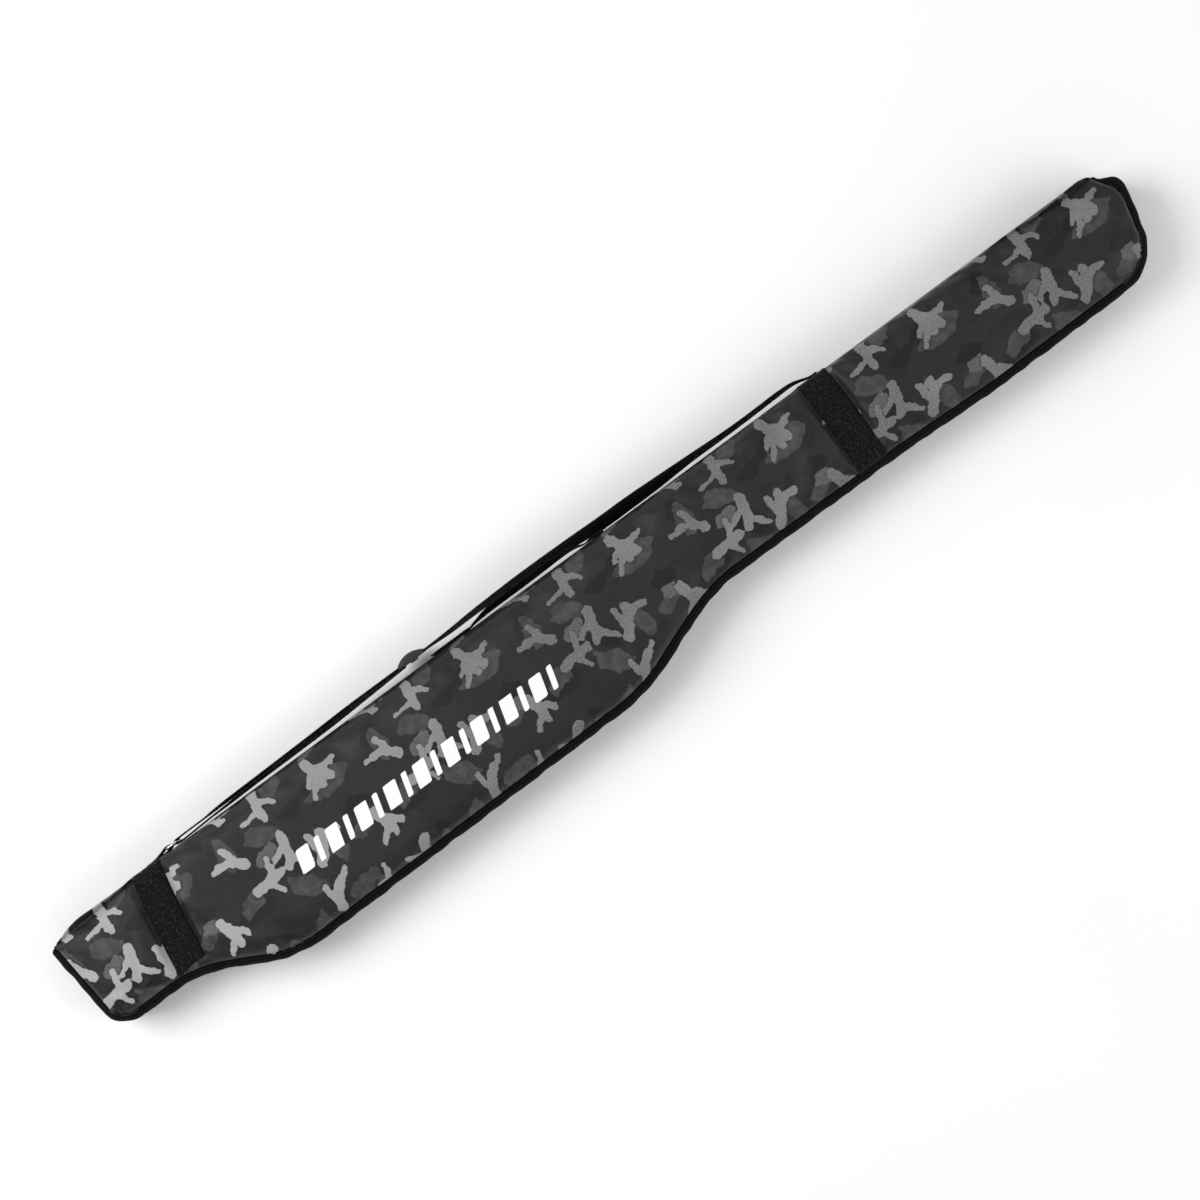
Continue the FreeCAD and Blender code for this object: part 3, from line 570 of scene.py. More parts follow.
CAMO = camo_material()
GUSSET = cloth_material("gusset_fabric", 15, 0.0009)
PIPING = cloth_material("piping", 13, 0.0007, 0.65)
TAPE = cloth_material("zip_tape", 17, 0.0008)
LINING = cloth_material("lining", 58, 0.0009, 0.6, tint=(0.97, 0.99, 1.04))
THREAD = cloth_material("thread", 34, 0.0004, 0.5)
WEB = webbing_material()
COIL = plastic_material("zip_coil", 22, 0.4)
ADJUSTER = plastic_material("adjuster_plastic", 38, 0.5)
ZIP_METAL = metal_material("zip_metal", 40, 0.35, 0.0)
RING = metal_material("ring_metal", 205, 0.25)


# ---------------------------------------------------------------- the camouflage print

# The print is a generic camouflage that repeats: branches over blotches, grown at random.
PRINT_PITCH = 214.0
PRINT_RISE = 232.0
PRINT_START = (560.0, -202.0)
# Room on the low sides of a repeat for shapes that reach past their places.
PRINT_SPILL = 62.0
# Depth of a place that is outside every printed shape.
OUTSIDE = -60.0


def scattered(random, columns, rows):
    """Jittered places spread over one repeat of the print."""
    wide, high = PRINT_PITCH / columns, PRINT_RISE / rows
    places = []
    for i in range(columns):
        for j in range(rows):
            x = PRINT_START[0] + PRINT_SPILL + (i + random.uniform(0.2, 0.8)) * wide
            y = PRINT_START[1] + PRINT_SPILL + (j + random.uniform(0.2, 0.8)) * high
            places.append((x, y))
    return places


def branch(random, place, heading, width, reach):
    """Strokes of x, y and half width of a crooked branch that forks to both sides."""
    stroke, forks = [(*place, width)], []
    side = random.choice((-1, 1))
    for k in range(reach):
        heading += random.uniform(-0.5, 0.5)
        length = random.uniform(9, 14)
        place = (place[0] + length * math.cos(heading), place[1] + length * math.sin(heading))
        width *= random.uniform(0.74, 1.02)
        stroke.append((*place, width))
        if reach > 2 and k < reach - 1:
            turn = side * random.uniform(0.7, 1.2)
            forks += branch(random, place, heading + turn, width * 0.78, 2)
            side = -side
    return [stroke] + forks


def blotch(random, place, size):
    """An uneven, stretched outline around a place."""
    lean = random.uniform(0, math.pi)
    outline = []
    for turn in np.arange(10) * 2 * math.pi / 10:
        along = size * random.uniform(0.6, 1.3) * math.cos(turn) * 1.5
        across = size * random.uniform(0.6, 1.3) * math.sin(turn) * 0.75
        outline.append((place[0] + along * math.cos(lean) - across * math.sin(lean),
                        place[1] + along * math.sin(lean) + across * math.cos(lean)))
    return outline


def blotches(random, columns, rows, low, high):
    """Outlines of blotches of a range of sizes, spread over one repeat."""
    return [blotch(random, place, random.uniform(low, high))
            for place in scattered(random, columns, rows)]


# Pale branches, and blotches in three greys.
PRINT_RANDOM = np.random.default_rng(7)
LIGHT = []
for spot in scattered(PRINT_RANDOM, 3, 4):
    LIGHT += branch(PRINT_RANDOM, spot, PRINT_RANDOM.uniform(0, 2 * math.pi), 6.4, 3)
MID = blotches(PRINT_RANDOM, 4, 3, 12, 21)
SOFT = blotches(PRINT_RANDOM, 2, 2, 7, 12)
DARK = blotches(PRINT_RANDOM, 3, 3, 12, 20)

# A plain printed stripe of slanted bars, wide and narrow in turn.
MARK_START = 288.0
MARK_PITCH = 40.6
MARK_COUNT = 9
MARK_BARS = [(0.0, 17.0), (25.0, 32.0)]
MARK_LOW = -111.0
MARK_HIGH = -84.0
MARK_SLANT = 0.28


def near_segment(x, y, start, end):
    """Share of a segment at which it comes nearest to each place, and its distance there."""
    (ax, ay), (bx, by) = start[:2], end[:2]
    length = (bx - ax) ** 2 + (by - ay) ** 2
    share = np.clip(((x - ax) * (bx - ax) + (y - ay) * (by - ay)) / length, 0, 1)
    return share, np.hypot(x - ax - share * (bx - ax), y - ay - share * (by - ay))


def stroke_depth(x, y, strokes):
    """How deep each point lies inside round-ended strokes; negative outside."""
    depth = np.full(x.shape, OUTSIDE)
    for stroke in strokes:
        for start, end in zip(stroke, stroke[1:]):
            share, away = near_segment(x, y, start, end)
            depth = np.maximum(depth, start[2] + (end[2] - start[2]) * share - away)
    return depth


def outline_depth(x, y, outlines):
    """How deep each point lies inside closed outlines; negative outside."""
    depth = np.full(x.shape, OUTSIDE)
    for outline in outlines:
        away = np.full(x.shape, 1e3)
        inside = np.zeros(x.shape, bool)
        for (ax, ay), (bx, by) in zip(outline, outline[1:] + outline[:1]):
            away = np.minimum(away, near_segment(x, y, (ax, ay), (bx, by))[1])
            crosses = (ay > y) != (by > y)
            reach = ax + (y - ay) * (bx - ax) / ((by - ay) or 1e-9)
            inside ^= crosses & (x < reach)
        depth = np.maximum(depth, np.where(inside, away, -away))
    return depth


def repeated(depth_of, x, y, shapes):
    """Depth inside shapes that repeat along and across the fabric."""
    best = np.full(x.shape, OUTSIDE)
    x = (x - PRINT_START[0]) % PRINT_PITCH + PRINT_START[0]
    y = (y - PRINT_START[1]) % PRINT_RISE + PRINT_START[1]
    for shift_x in (0, PRINT_PITCH):
        for shift_y in (0, PRINT_RISE):
            best = np.maximum(best, depth_of(x + shift_x, y + shift_y, shapes))
    return best


def mark_depth(x, y):
    """Depth inside the slanted bars of the stripe."""
    depth = np.full(x.shape, OUTSIDE)
    lean = (y - MARK_LOW) * MARK_SLANT
    level = np.minimum(y - MARK_LOW, MARK_HIGH - y)
    for k in range(MARK_COUNT):
        for start, end in MARK_BARS:
            place = x - MARK_START - MARK_PITCH * k - lean
            side = np.minimum(place - start, end - place)
            depth = np.maximum(depth, np.minimum(side, level))
    return depth


def print_on(thing, x, y, marked):
    """Stores how deep every point of a mesh lies in each kind of printed shape, in millimetres."""
    layers = {
        "print_light": repeated(stroke_depth, x, y, LIGHT),
        "print_mid": repeated(outline_depth, x, y, MID),
        "print_soft": repeated(outline_depth, x, y, SOFT),
        "print_dark": repeated(outline_depth, x, y, DARK),
        "print_mark": mark_depth(x, y) if marked else np.full(x.shape, OUTSIDE),
    }
    for name, depth in layers.items():
        layer = thing.data.attributes.new(name, "FLOAT", "POINT")
        layer.data.foreach_set("value", depth.astype(np.float32).ravel())


# ---------------------------------------------------------------- panels

def panel_sides(spine_inset, edge_inset):
    """Four sides of a panel: straight edge, tip, bulge side and butt end, each from its start."""
    edge = SEAM_INSET + edge_inset
    insets = [edge_inset] + [edge] * (len(LOW_EDGE) + 1) + [spine_inset] * 3
    dense, bends = rounded(inset_corners(PANEL_CORNERS, insets), True)
    tip, tip_low, butt_low, butt_top = (bends[i] for i in (0, 2, *BUTT_CORNERS))
    loop = np.vstack([dense[tip:], dense[:tip + 1]])
    tip_low, butt_low, butt_top = tip_low - tip, butt_low - tip, butt_top - tip
    right = loop[:tip_low + 1]
    bottom = loop[tip_low:butt_low + 1][::-1]
    left = loop[butt_low:butt_top + 1][::-1]
    top = loop[butt_top:]
    return top, right, bottom, left


def graded(length, step, edge):
    """Places from 0 to 1 along a side, with extra places near both ends."""
    near = [d for d in edge if d < length / 2]
    start = near[-1]
    count = max(2, round((length - 2 * start) / step))
    middle = np.linspace(start, length - start, count + 1)[1:-1]
    places = near + list(middle) + [length - d for d in reversed(near)]
    return np.array(places) / length


def patch(sides, u, v):
    """Points of a surface spanned between four sides: rows along v, columns along u."""
    def along(side, places):
        whole = run_along(side)
        return read_at(places * whole[-1], whole, side)

    top, right, bottom, left = sides
    t, b = along(top, u)[None], along(bottom, u)[None]
    l, r = along(left, v)[:, None], along(right, v)[:, None]
    uu, vv = u[None, :, None], v[:, None, None]
    corners = ((1 - uu) * (1 - vv) * top[0] + uu * (1 - vv) * top[-1]
               + (1 - uu) * vv * bottom[0] + uu * vv * bottom[-1])
    return (1 - vv) * t + vv * b + (1 - uu) * l + uu * r - corners


def distance_to(points, line):
    """Shortest distance from each point to a polyline."""
    best = np.full(len(points), 1e9)
    for a, b in zip(line[:-1], line[1:]):
        span = b - a
        t = np.clip((points - a) @ span / max(span @ span, 1e-9), 0, 1)
        best = np.minimum(best, ((points - a - t[:, None] * span) ** 2).sum(1))
    return np.sqrt(best)


def band_distance(x, y):
    """Distance along the case from the middle line of the nearer webbing band."""
    return np.minimum(*[np.abs(x - band_middle(name, y)) for name in BANDS])


def band_middle(name, y):
    """Where the middle line of a band is at a distance across the case."""
    start, slope, bow = BANDS[name]
    return start + slope * y + bow * (1 - ((y + BAND_BOW_AT) / BAND_BOW_AT) ** 2)


class Sheet:
    """A structured sheet over one half of the case, from the middle of the straight edge."""

    def __init__(self, step, spine_inset=0.0, edge_inset=0.0, top=DEPTH, fold=FOLD,
                 edge_fold=FOLD, edge=(0, 0.15, 0.55, 1.2, 2.1, 3.2, 4.5, 6.0, 7.8)):
        sides = panel_sides(spine_inset, edge_inset)
        self.u = graded(PANEL_LONG, step, edge)
        self.v = graded(PANEL_WIDE, step, edge)
        flat = patch(sides, self.u, self.v)
        rows, columns = flat.shape[:2]
        points = flat.reshape(-1, 2)
        coarse = [resample(side, max(8, int(len(side) / 6))) for side in sides]
        spine = distance_to(points, coarse[0])
        other = np.min([distance_to(points, side) for side in coarse[1:]], axis=0)
        spine[:columns] = 0
        rise = np.minimum(self.profile(spine, fold, top), self.profile(other, edge_fold, top))
        wall_top = top - DEPTH + SEAM_Z
        wall_z = np.linspace(MIDDLE, wall_top, max(3, int((wall_top - MIDDLE) / step)))[:-1]
        wall = np.zeros((len(wall_z), columns, 3))
        wall[:, :, :2] = flat[0]
        wall[:, :, 2] = wall_z[:, None]
        panel = np.dstack([flat, rise.reshape(rows, columns)])
        self.points = np.vstack([wall, panel])
        self.edge_distance = np.vstack([np.full((len(wall_z), columns), 40.0),
                                        other.reshape(rows, columns)])
        self.spine_distance = np.vstack([np.zeros((len(wall_z), columns)),
                                         spine.reshape(rows, columns)])
        self.rows_v = np.concatenate([(wall_z - wall_top) / PANEL_WIDE, self.v])
        turned = np.clip((fold - self.spine_distance) / fold, 0, 1)
        arc = fold * np.arcsin(turned)
        up = np.where(self.spine_distance > 0, 0, wall_top + 2 - self.points[:, :, 2])
        lean = self.spine_distance < fold
        self.print_y = np.where(lean, -fold + arc + np.clip(up, 0, None), self.points[:, :, 1])

    @staticmethod
    def profile(distance, fold, top):
        """Height of a panel that rises round a fold at its edge."""
        inside = np.clip(distance, 0, fold)
        height = top - fold + np.sqrt(np.clip(fold ** 2 - (fold - inside) ** 2, 0, None))
        return np.where(distance <= 1e-6, top - DEPTH + SEAM_Z, height)

    def mesh(self, name, points, front, material):
        """An object of the sheet, mirrored for the back half."""
        rows, columns = points.shape[:2]
        places = points.reshape(-1, 3).copy()
        places[:, 2] = flipped(places[:, 2], front)
        faces = grid_faces(rows, columns)
        if front:
            faces = [face[::-1] for face in faces]
        uvs = np.column_stack([points[:, :, 0].ravel(), self.print_y.ravel()]) / 1000
        return new_mesh(name, places, faces, material, uvs)

    def spread(self, coarse, field):
        """A field on a coarser sheet of the same kind, interpolated onto this one."""
        rows = [np.column_stack([np.interp(self.u, coarse.u, row[:, k]) for k in range(3)])
                for row in field]
        rows = np.array(rows)
        wide = np.empty((len(self.rows_v), len(self.u), 3))
        for k in range(3):
            for i in range(len(self.u)):
                wide[:, i, k] = np.interp(self.rows_v, coarse.rows_v, rows[:, i, k])
        for _ in range(3):
            wide[1:-1] = (wide[:-2] + 2 * wide[1:-1] + wide[2:]) / 4
            wide[:, 1:-1] = (wide[:, :-2] + 2 * wide[:, 1:-1] + wide[:, 2:]) / 4
        return wide


def crumple(sheet, front, seed):
    """Moves of the panel fabric from a cloth simulation: a loose cover over its padding."""
    thing = sheet.mesh("crumple", sheet.points, front, CAMO)
    work = thing.data
    x, y = sheet.points[:, :, 0], sheet.points[:, :, 1]
    held = np.clip(1 - sheet.edge_distance / 5.0, 0, 1)
    held = np.maximum(held, (sheet.points[:, :, 2] < 60) * 1.0)
    held = np.maximum(held, smoothstep(21, 17, band_distance(x, y)))
    rest = np.array([v.co for v in work.vertices])
    start = rest.copy()
    sway = ripple(x + 1.3 * y, (83, 47, 31), seed) * 0.0006
    start[:, 2] += sway.ravel() * (1 - held.ravel())
    work.vertices.foreach_set("co", start.astype(np.float32).ravel())
    group = thing.vertex_groups.new(name="held")
    for i, weight in enumerate(held.ravel()):
        if weight > 0.02:
            group.add([i], float(weight), "REPLACE")
    cloth = thing.modifiers.new("cloth", "CLOTH")
    set_up = cloth.settings
    set_up.quality = 5
    set_up.mass = 0.25
    set_up.tension_stiffness = 30
    set_up.compression_stiffness = 30
    set_up.shear_stiffness = 12
    set_up.bending_stiffness = 1.5
    set_up.air_damping = 2
    set_up.vertex_group_mass = "held"
    set_up.pin_stiffness = 1
    set_up.shrink_min = -0.011
    set_up.use_pressure = True
    set_up.uniform_pressure_force = 1.1
    set_up.effector_weights.gravity = 0
    cloth.collision_settings.use_collision = False
    scene = bpy.context.scene
    for step in range(1, CLOTH_FRAMES + 1):
        scene.frame_set(step)
    graph = bpy.context.evaluated_depsgraph_get()
    moved = np.array([v.co for v in thing.evaluated_get(graph).data.vertices])
    scene.frame_set(1)
    move = (moved - rest) * 1000
    reach = np.linalg.norm(move, axis=1)
    move *= (np.minimum(reach, CRUMPLE_CAP) / np.maximum(reach, 1e-9))[:, None]
    bpy.data.objects.remove(thing)
    if not front:
        move[:, 2] *= -1
    return move.reshape(sheet.points.shape)


def creased(sheet, points):
    """The soft creases that the cover keeps from being handled."""
    x, y = sheet.points[:, :, 0], sheet.points[:, :, 1]
    for (ax, ay), (bx, by), wide, high in CREASES:
        length = (bx - ax) ** 2 + (by - ay) ** 2
        t = ((x - ax) * (bx - ax) + (y - ay) * (by - ay)) / length
        away = ((y - ay) * (bx - ax) - (x - ax) * (by - ay)) / math.sqrt(length)
        away = away + 0.12 * wide * np.sin(5 * t)
        taper = np.clip(4 * t * (1 - t), 0, 1)
        ridge = np.exp(-(away / wide) ** 2) - 0.5 * np.exp(-((away - 1.7 * wide) / wide) ** 2)
        points[:, :, 2] += high * ridge * taper * (sheet.spine_distance > 0)
    return points


def pressed(sheet, points):
    """The panel's fabric pressed flat under the webbing bands and drawn in at its seams."""
    x, y = sheet.points[:, :, 0], sheet.points[:, :, 1]
    under = smoothstep(26, 19, band_distance(x, y))
    points = sheet.points + (points - sheet.points) * (1 - under)[:, :, None]
    flat = under * smoothstep(0, 6, sheet.edge_distance)
    points[:, :, 2] -= flat * 0.7 * (sheet.spine_distance > 0)
    along = ripple(x + y, (9.5, 13, 23), 0.3)
    pucker = along * 0.45 * np.exp(-((sheet.edge_distance - 9) / 7) ** 2)
    points[:, :, 2] += pucker * (1 - under)
    return points


def crown(sheet):
    """How far the padding lifts a panel above its flat height."""
    reach = np.minimum(sheet.edge_distance, sheet.spine_distance) / CROWN_REACH
    middle = np.sqrt(np.clip(1 - (1 - np.clip(reach, 0, 1)) ** 2, 0, 1)) * smoothstep(0, 0.2, reach)
    ends = smoothstep(0, 60, sheet.points[:, :, 0]) * smoothstep(1500, 1440, sheet.points[:, :, 0])
    lift = np.zeros(sheet.points.shape)
    lift[:, :, 2] = CROWN_LIFT * middle * ends * (sheet.spine_distance > 0)
    return lift


def eased(points):
    """Rounds off the highest folds, so that the cover keeps within the depth of the case."""
    over = np.clip(points[:, :, 2] - DEPTH - FREE_LIFT, 0, None)
    points[:, :, 2] += EASED_LIFT * np.tanh(over / EASED_LIFT) - over
    return points


def make_shells():
    """The camouflage cover of both halves."""
    coarse = Sheet(6.0, edge=(0, 1.0, 3.5, 7.8))
    fine = Sheet(2.3)
    for half, front in HALVES:
        move = crumple(coarse, front, 0.9 if front else 2.2)
        points = fine.points + fine.spread(coarse, move)
        if front:
            points = eased(creased(fine, points + crown(fine)))
        points = pressed(fine, points)
        if not front:
            points[:, :, 2] = np.minimum(points[:, :, 2], DEPTH - 0.1)
        cover = fine.mesh(f"camo_{half}", points, front, CAMO)
        across = fine.print_y if front else 2 * fine.print_y.max() - fine.print_y
        print_on(cover, fine.points[:, :, 0].ravel(), across.ravel(), front)
        thicken(cover, SHELL_THICK)
        if front:
            bend_over_hinge(cover)
            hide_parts("front_panel")
        else:
            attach(cover, "back_half")
            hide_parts("back_panel", "spine_panel")


def bend_over_hinge(thing):
    """Bakes the world transform into the mesh of fabric that runs from the spine, which stays, to
    the front half, which opens.
    """
    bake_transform(thing)


def ride_half(thing, front):
    """Fabric that crosses the straight edge: in front its transform is baked into its mesh, and at
    the back it is attached to the back half.
    """
    if front:
        bend_over_hinge(thing)
    else:
        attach(thing, "back_half")


def make_linings():
    """Lining quilted over the foam, inside both halves."""
    inside, thick = 9.2, 4.0
    quilt_pitch, quilt_depth = 62, 2.2
    sheet = Sheet(5.0, spine_inset=inside, edge_inset=4.4, top=DEPTH - inside, fold=3.0,
                  edge_fold=1.2, edge=(0, 0.5, 1.2, 2.4))
    x, y = sheet.points[:, :, 0], sheet.points[:, :, 1]
    quilt = (np.abs(np.sin((x + y) * math.pi / quilt_pitch))
             * np.abs(np.sin((x - y) * math.pi / quilt_pitch)))
    puff = np.sqrt(quilt) * smoothstep(0, 14, sheet.edge_distance)
    points = sheet.points.copy()
    points[:, :, 2] -= quilt_depth * puff * smoothstep(0, 12, sheet.spine_distance)
    for half, front in HALVES:
        lining = sheet.mesh(f"lining_{half}", points, front, LINING)
        thicken(lining, thick, 1.0)
        if front:
            bend_over_hinge(lining)
            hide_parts("front_lining", "front_padding")
        else:
            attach(lining, "back_half")
            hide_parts("back_lining", "back_padding", "spine_lining", "spine_padding")


# ---------------------------------------------------------------- gusset, piping and zip

def gusset_section(front):
    """Section of a gusset half: a round lobe that puckers at its seams, with an inner flange."""
    angles = np.radians(np.linspace(LOBE_ZIP_ANGLE, LOBE_TOP_ANGLE, 19))
    share = np.linspace(0, 1, len(angles))

    def section(along):
        seam = ripple(along, (8.7, 12.1, 19.0), 0.2 if front else 1.4)[:, None]
        sway = ripple(along, (71, 43, 27), 0.7 if front else 2.1)[:, None]
        ridge = ripple(along + 20, (31, 22), 0.5)[:, None]
        push = seam * 0.5 * np.exp(-((share - 0.9) / 0.16) ** 2)[None, :]
        push = push + sway * 0.9 * np.sin(math.pi * share)[None, :]
        push = push + ridge * 0.35 * np.sin(2 * math.pi * share)[None, :]
        push = push * (smoothstep(0, 30, along) * smoothstep(0, 30, along[-1] - along))[:, None]
        outer = LOBE + push
        inner = outer - LOBE_THICK
        out = [-LOBE + outer * np.cos(angles), -LOBE + inner * np.cos(angles)]
        high = [LOBE_Z + outer * np.sin(angles), LOBE_Z + inner * np.sin(angles)]
        rim_out = out[0][:, -1:] - np.array([[3.0, FLANGE, FLANGE, 3.0]])
        rim_high = high[0][:, -1:] + np.array([[-0.1, -0.1, -1.2, -1.4]])
        whole = np.hstack([out[0], rim_out, out[1][:, ::-1]])
        return whole, flipped(np.hstack([high[0], rim_high, high[1][:, ::-1]]), front)

    return section


def corner_section(front):
    """Section that turns from the round end of the gusset into the flat start of the spine."""
    angles = np.radians(np.linspace(LOBE_ZIP_ANGLE, LOBE_TOP_ANGLE, 19))
    upright = np.linspace(LOBE_Z + LOBE * math.sin(angles[0]), SEAM_Z - 0.3, len(angles))
    spine_gap = 0.1

    def section(along):
        flat = smoothstep(0, along[-1], along)[:, None]
        outs, heights = [], []
        for reach in (LOBE, LOBE - LOBE_THICK):
            wall = reach - LOBE - spine_gap
            outs.append((1 - flat) * (reach * np.cos(angles) - LOBE) + flat * wall)
            heights.append((1 - flat) * (LOBE_Z + reach * np.sin(angles)) + flat * upright)
        out = np.hstack([outs[0], outs[1][:, ::-1]])
        return out, flipped(np.hstack([heights[0], heights[1][:, ::-1]]), front)

    return section


def piping_section(front):
    """A round section whose radius dips at every stitch."""
    turn = np.linspace(0, 2 * math.pi, 14, endpoint=False)

    def section(along):
        wave = np.cos(2 * math.pi * along / PIPING_STITCH)
        dip = 1 - PIPING_DIP * (0.5 + 0.5 * wave)[:, None] ** 4
        wobble = ripple(along, (33, 57, 21), 0.9)[:, None] * 0.25
        reach = PIPING_RADIUS * dip
        return (PIPING_OUT + wobble + reach * np.cos(turn)[None, :],
                flipped(PIPING_Z + reach * np.sin(turn)[None, :], front))

    return section


def tape_section(front):
    """The zip tape, a flat strip on edge."""
    def section(along):
        ones = np.ones((len(along), 1))
        heights = np.linspace(*TAPE_HEIGHTS, 5)
        outs = np.concatenate([np.full(5, TAPE_OUT), np.full(5, TAPE_OUT - TAPE_THICK)])
        return ones * outs, flipped(ones * np.concatenate([heights, heights[::-1]]), front)

    return section


def make_coil(half, front, route):
    """The nylon coil of one zip half, wound turn by turn along its tape."""
    points, outward, along = route
    pitch, around = 2.1, 8
    middle_out, middle_high = -6.1, 1.08
    half_wide, half_high = 0.72, 0.78
    wire_radius = 0.3
    turns = np.arange(0, along[-1], pitch / around)
    centre = read_at(turns, along, points)
    out = read_at(turns, along, outward)
    angle = 2 * math.pi * np.arange(len(turns)) / around
    depth = middle_out + half_wide * np.cos(angle)
    height = MIDDLE + middle_high + half_high * np.sin(angle)
    line = np.column_stack([centre + out * depth[:, None], height])
    step = unit_rows(np.gradient(line, axis=0))
    side = unit_rows(np.cross(step, np.column_stack([out, np.zeros(len(out))])))
    other = np.cross(step, side)
    ring = np.radians(np.arange(0, 360, 90) + 45)
    wire = wire_radius * (side[:, None] * np.cos(ring)[None, :, None]
                          + other[:, None] * np.sin(ring)[None, :, None])
    places = (line[:, None] + wire).reshape(-1, 3)
    places[:, 2] = flipped(places[:, 2], front)
    faces = tube_faces(len(line), len(ring))
    coil = outwards(new_mesh(f"coil_{half}", places, faces, COIL))
    finish_piece(coil, "zip_coil", f"{half}_half", f"{half}_zip_coil")


def finish_piece(thing, slot, body, *nodes):
    """Attaches a piece to its body and hides the CAD nodes that it stands for; slot is not used."""
    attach(thing, body)
    if nodes:
        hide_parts(*nodes)
    return thing


def make_edges():
    """Gusset with its corner at the butt end, piping, zip tape and coil of each half."""
    outline = [GUSSET_START, TIP_TOP] + LOW_EDGE + [GUSSET_END]
    route = edge_route(outline)
    fine = edge_route(outline, step=1.4)
    insets = [0.0] + [SEAM_INSET] * (len(LOW_EDGE) + 1) + [0.0, 0.0, 0.0]
    rim = inset_corners(PANEL_CORNERS, insets)
    low, top = BUTT_CORNERS
    ends = edge_point(rim[0], rim[1], 2), edge_point(rim[top], rim[low], 6)
    rim_route = edge_route([ends[0]] + rim[1:top] + [ends[1]], step=1.4)
    corner = edge_route([edge_point(BUTT_TOP, LOW_EDGE[-1], 4.45), (*BUTT_TOP[:2], 5.5),
                         edge_point(BUTT_TOP, BUTT_SHOULDER, 10.6)], step=0.8)
    for half, front in HALVES:
        body = f"{half}_half"
        turn = sweep(f"gusset_corner_{half}", corner, corner_section(front), GUSSET)
        finish_piece(turn, "gusset_fabric", body)
        gusset = sweep(f"gusset_{half}", fine, gusset_section(front), GUSSET)
        finish_piece(gusset, "gusset_fabric", body, f"{half}_gusset")
        piping = sweep(f"piping_{half}", rim_route, piping_section(front), PIPING)
        finish_piece(piping, "piping", body, f"{half}_piping")
        tape = sweep(f"zip_tape_{half}", route, tape_section(front), TAPE)
        finish_piece(tape, "zip_tape", body, f"{half}_zip_tape")
        make_coil(half, front, route)


# ---------------------------------------------------------------- webbing

def ribbon(name, route, width, thick):
    """Webbing along a route of (x, y, tilt) rows, half way up the case; it stands on edge where
    tilt is 0. Its edges are rounded like a woven selvedge."""
    rows = spline([(x, y, MIDDLE, tilt) for x, y, tilt in route], 2.5)
    line, tilt = rows[:, :3], np.radians(rows[:, 3])
    step = unit_rows(np.gradient(line, axis=0))
    face = unit_rows(np.cross(np.array([[0.0, 0.0, 1.0]]), step))
    across = np.cross(step, face)
    wide = np.cos(tilt)[:, None] * across + np.sin(tilt)[:, None] * face
    lift = np.cos(tilt)[:, None] * face - np.sin(tilt)[:, None] * across
    half = width / 2
    spread = half * np.sin(np.linspace(-math.pi / 2, math.pi / 2, 12))
    bulk = thick / 2 * np.clip((half - np.abs(spread)) / 0.8, 0.15, 1) ** 0.5
    section = np.column_stack([np.concatenate([spread, spread[::-1]]),
                               np.concatenate([bulk, -bulk[::-1]])])
    places = (line[:, None] + wide[:, None] * section[None, :, :1]
              + lift[:, None] * section[None, :, 1:]).reshape(-1, 3)
    uvs = np.dstack(np.meshgrid(run_along(line), section[:, 0] + half, indexing="ij"))
    faces = tube_faces(len(line), len(section))
    return outwards(new_mesh(name, places, faces, WEB, uvs.reshape(-1, 2) / 1000))


def band_rows(name):
    """Line of a band over the case: up the straight edge, over both folds and down to the seam."""
    rows = [(BAND_LIFT, z) for z in np.linspace(MIDDLE, SEAM_Z + 2, 12)]
    far = BAND_FAR[name] + SEAM_INSET
    reach = FOLD + BAND_LIFT
    for turn in np.radians(np.linspace(0, 90, 12)[1:]):
        rows.append((reach * math.cos(turn) - FOLD, DEPTH - FOLD + reach * math.sin(turn)))
    rows += [(y, DEPTH + BAND_LIFT) for y in np.linspace(-FOLD - 3, far + FOLD, 40)]
    for turn in np.radians(np.linspace(90, 0, 10)[1:]):
        rows.append((far + FOLD - reach * math.cos(turn), DEPTH - FOLD + reach * math.sin(turn)))
    rows.append((far - 0.6, SEAM_Z + 1))
    return rows


def stitch_row(line, normal):
    """Points and faces of stitches laid on a line; each dips into the cloth at its ends."""
    line = np.asarray(line, float)
    places = run_along(line)
    normal = np.broadcast_to(np.asarray(normal, float), line.shape)
    turn = np.radians(np.arange(0, 360, 60))
    shares = np.array([0, 0.2, 0.5, 0.8, 1.0])
    heights = np.array([-0.5, 0.05, 0.15, 0.05, -0.5])
    stitch_faces = tube_faces(len(shares), len(turn))
    points, faces = [], []
    for start in np.arange(STITCH_PITCH / 2, places[-1] - STITCH_LENGTH, STITCH_PITCH):
        stations = start + STITCH_LENGTH * shares
        up = unit_rows(read_at(stations, places, normal))
        middle = read_at(stations, places, line) + up * heights[:, None]
        side = unit_rows(np.cross(up, middle[-1] - middle[0]))
        faces += [tuple(len(points) + i for i in face) for face in stitch_faces]
        for m, u, w in zip(middle, up, side):
            ring = np.cos(turn)[:, None] * w + np.sin(turn)[:, None] * u
            points += list(m + STITCH_RADIUS * ring)
    return points, faces


def stitches(name, rows):
    """One piece of thread made of several rows of stitches, each a line and its normals."""
    points, faces = [], []
    for line, normal in rows:
        more, ends = stitch_row(line, normal)
        faces += [tuple(i + len(points) for i in face) for face in ends]
        points += more
    uvs = [(point[0] / 1000, point[1] / 1000) for point in points]
    thing = outwards(new_mesh(name, points, faces, THREAD, uvs))
    return thing


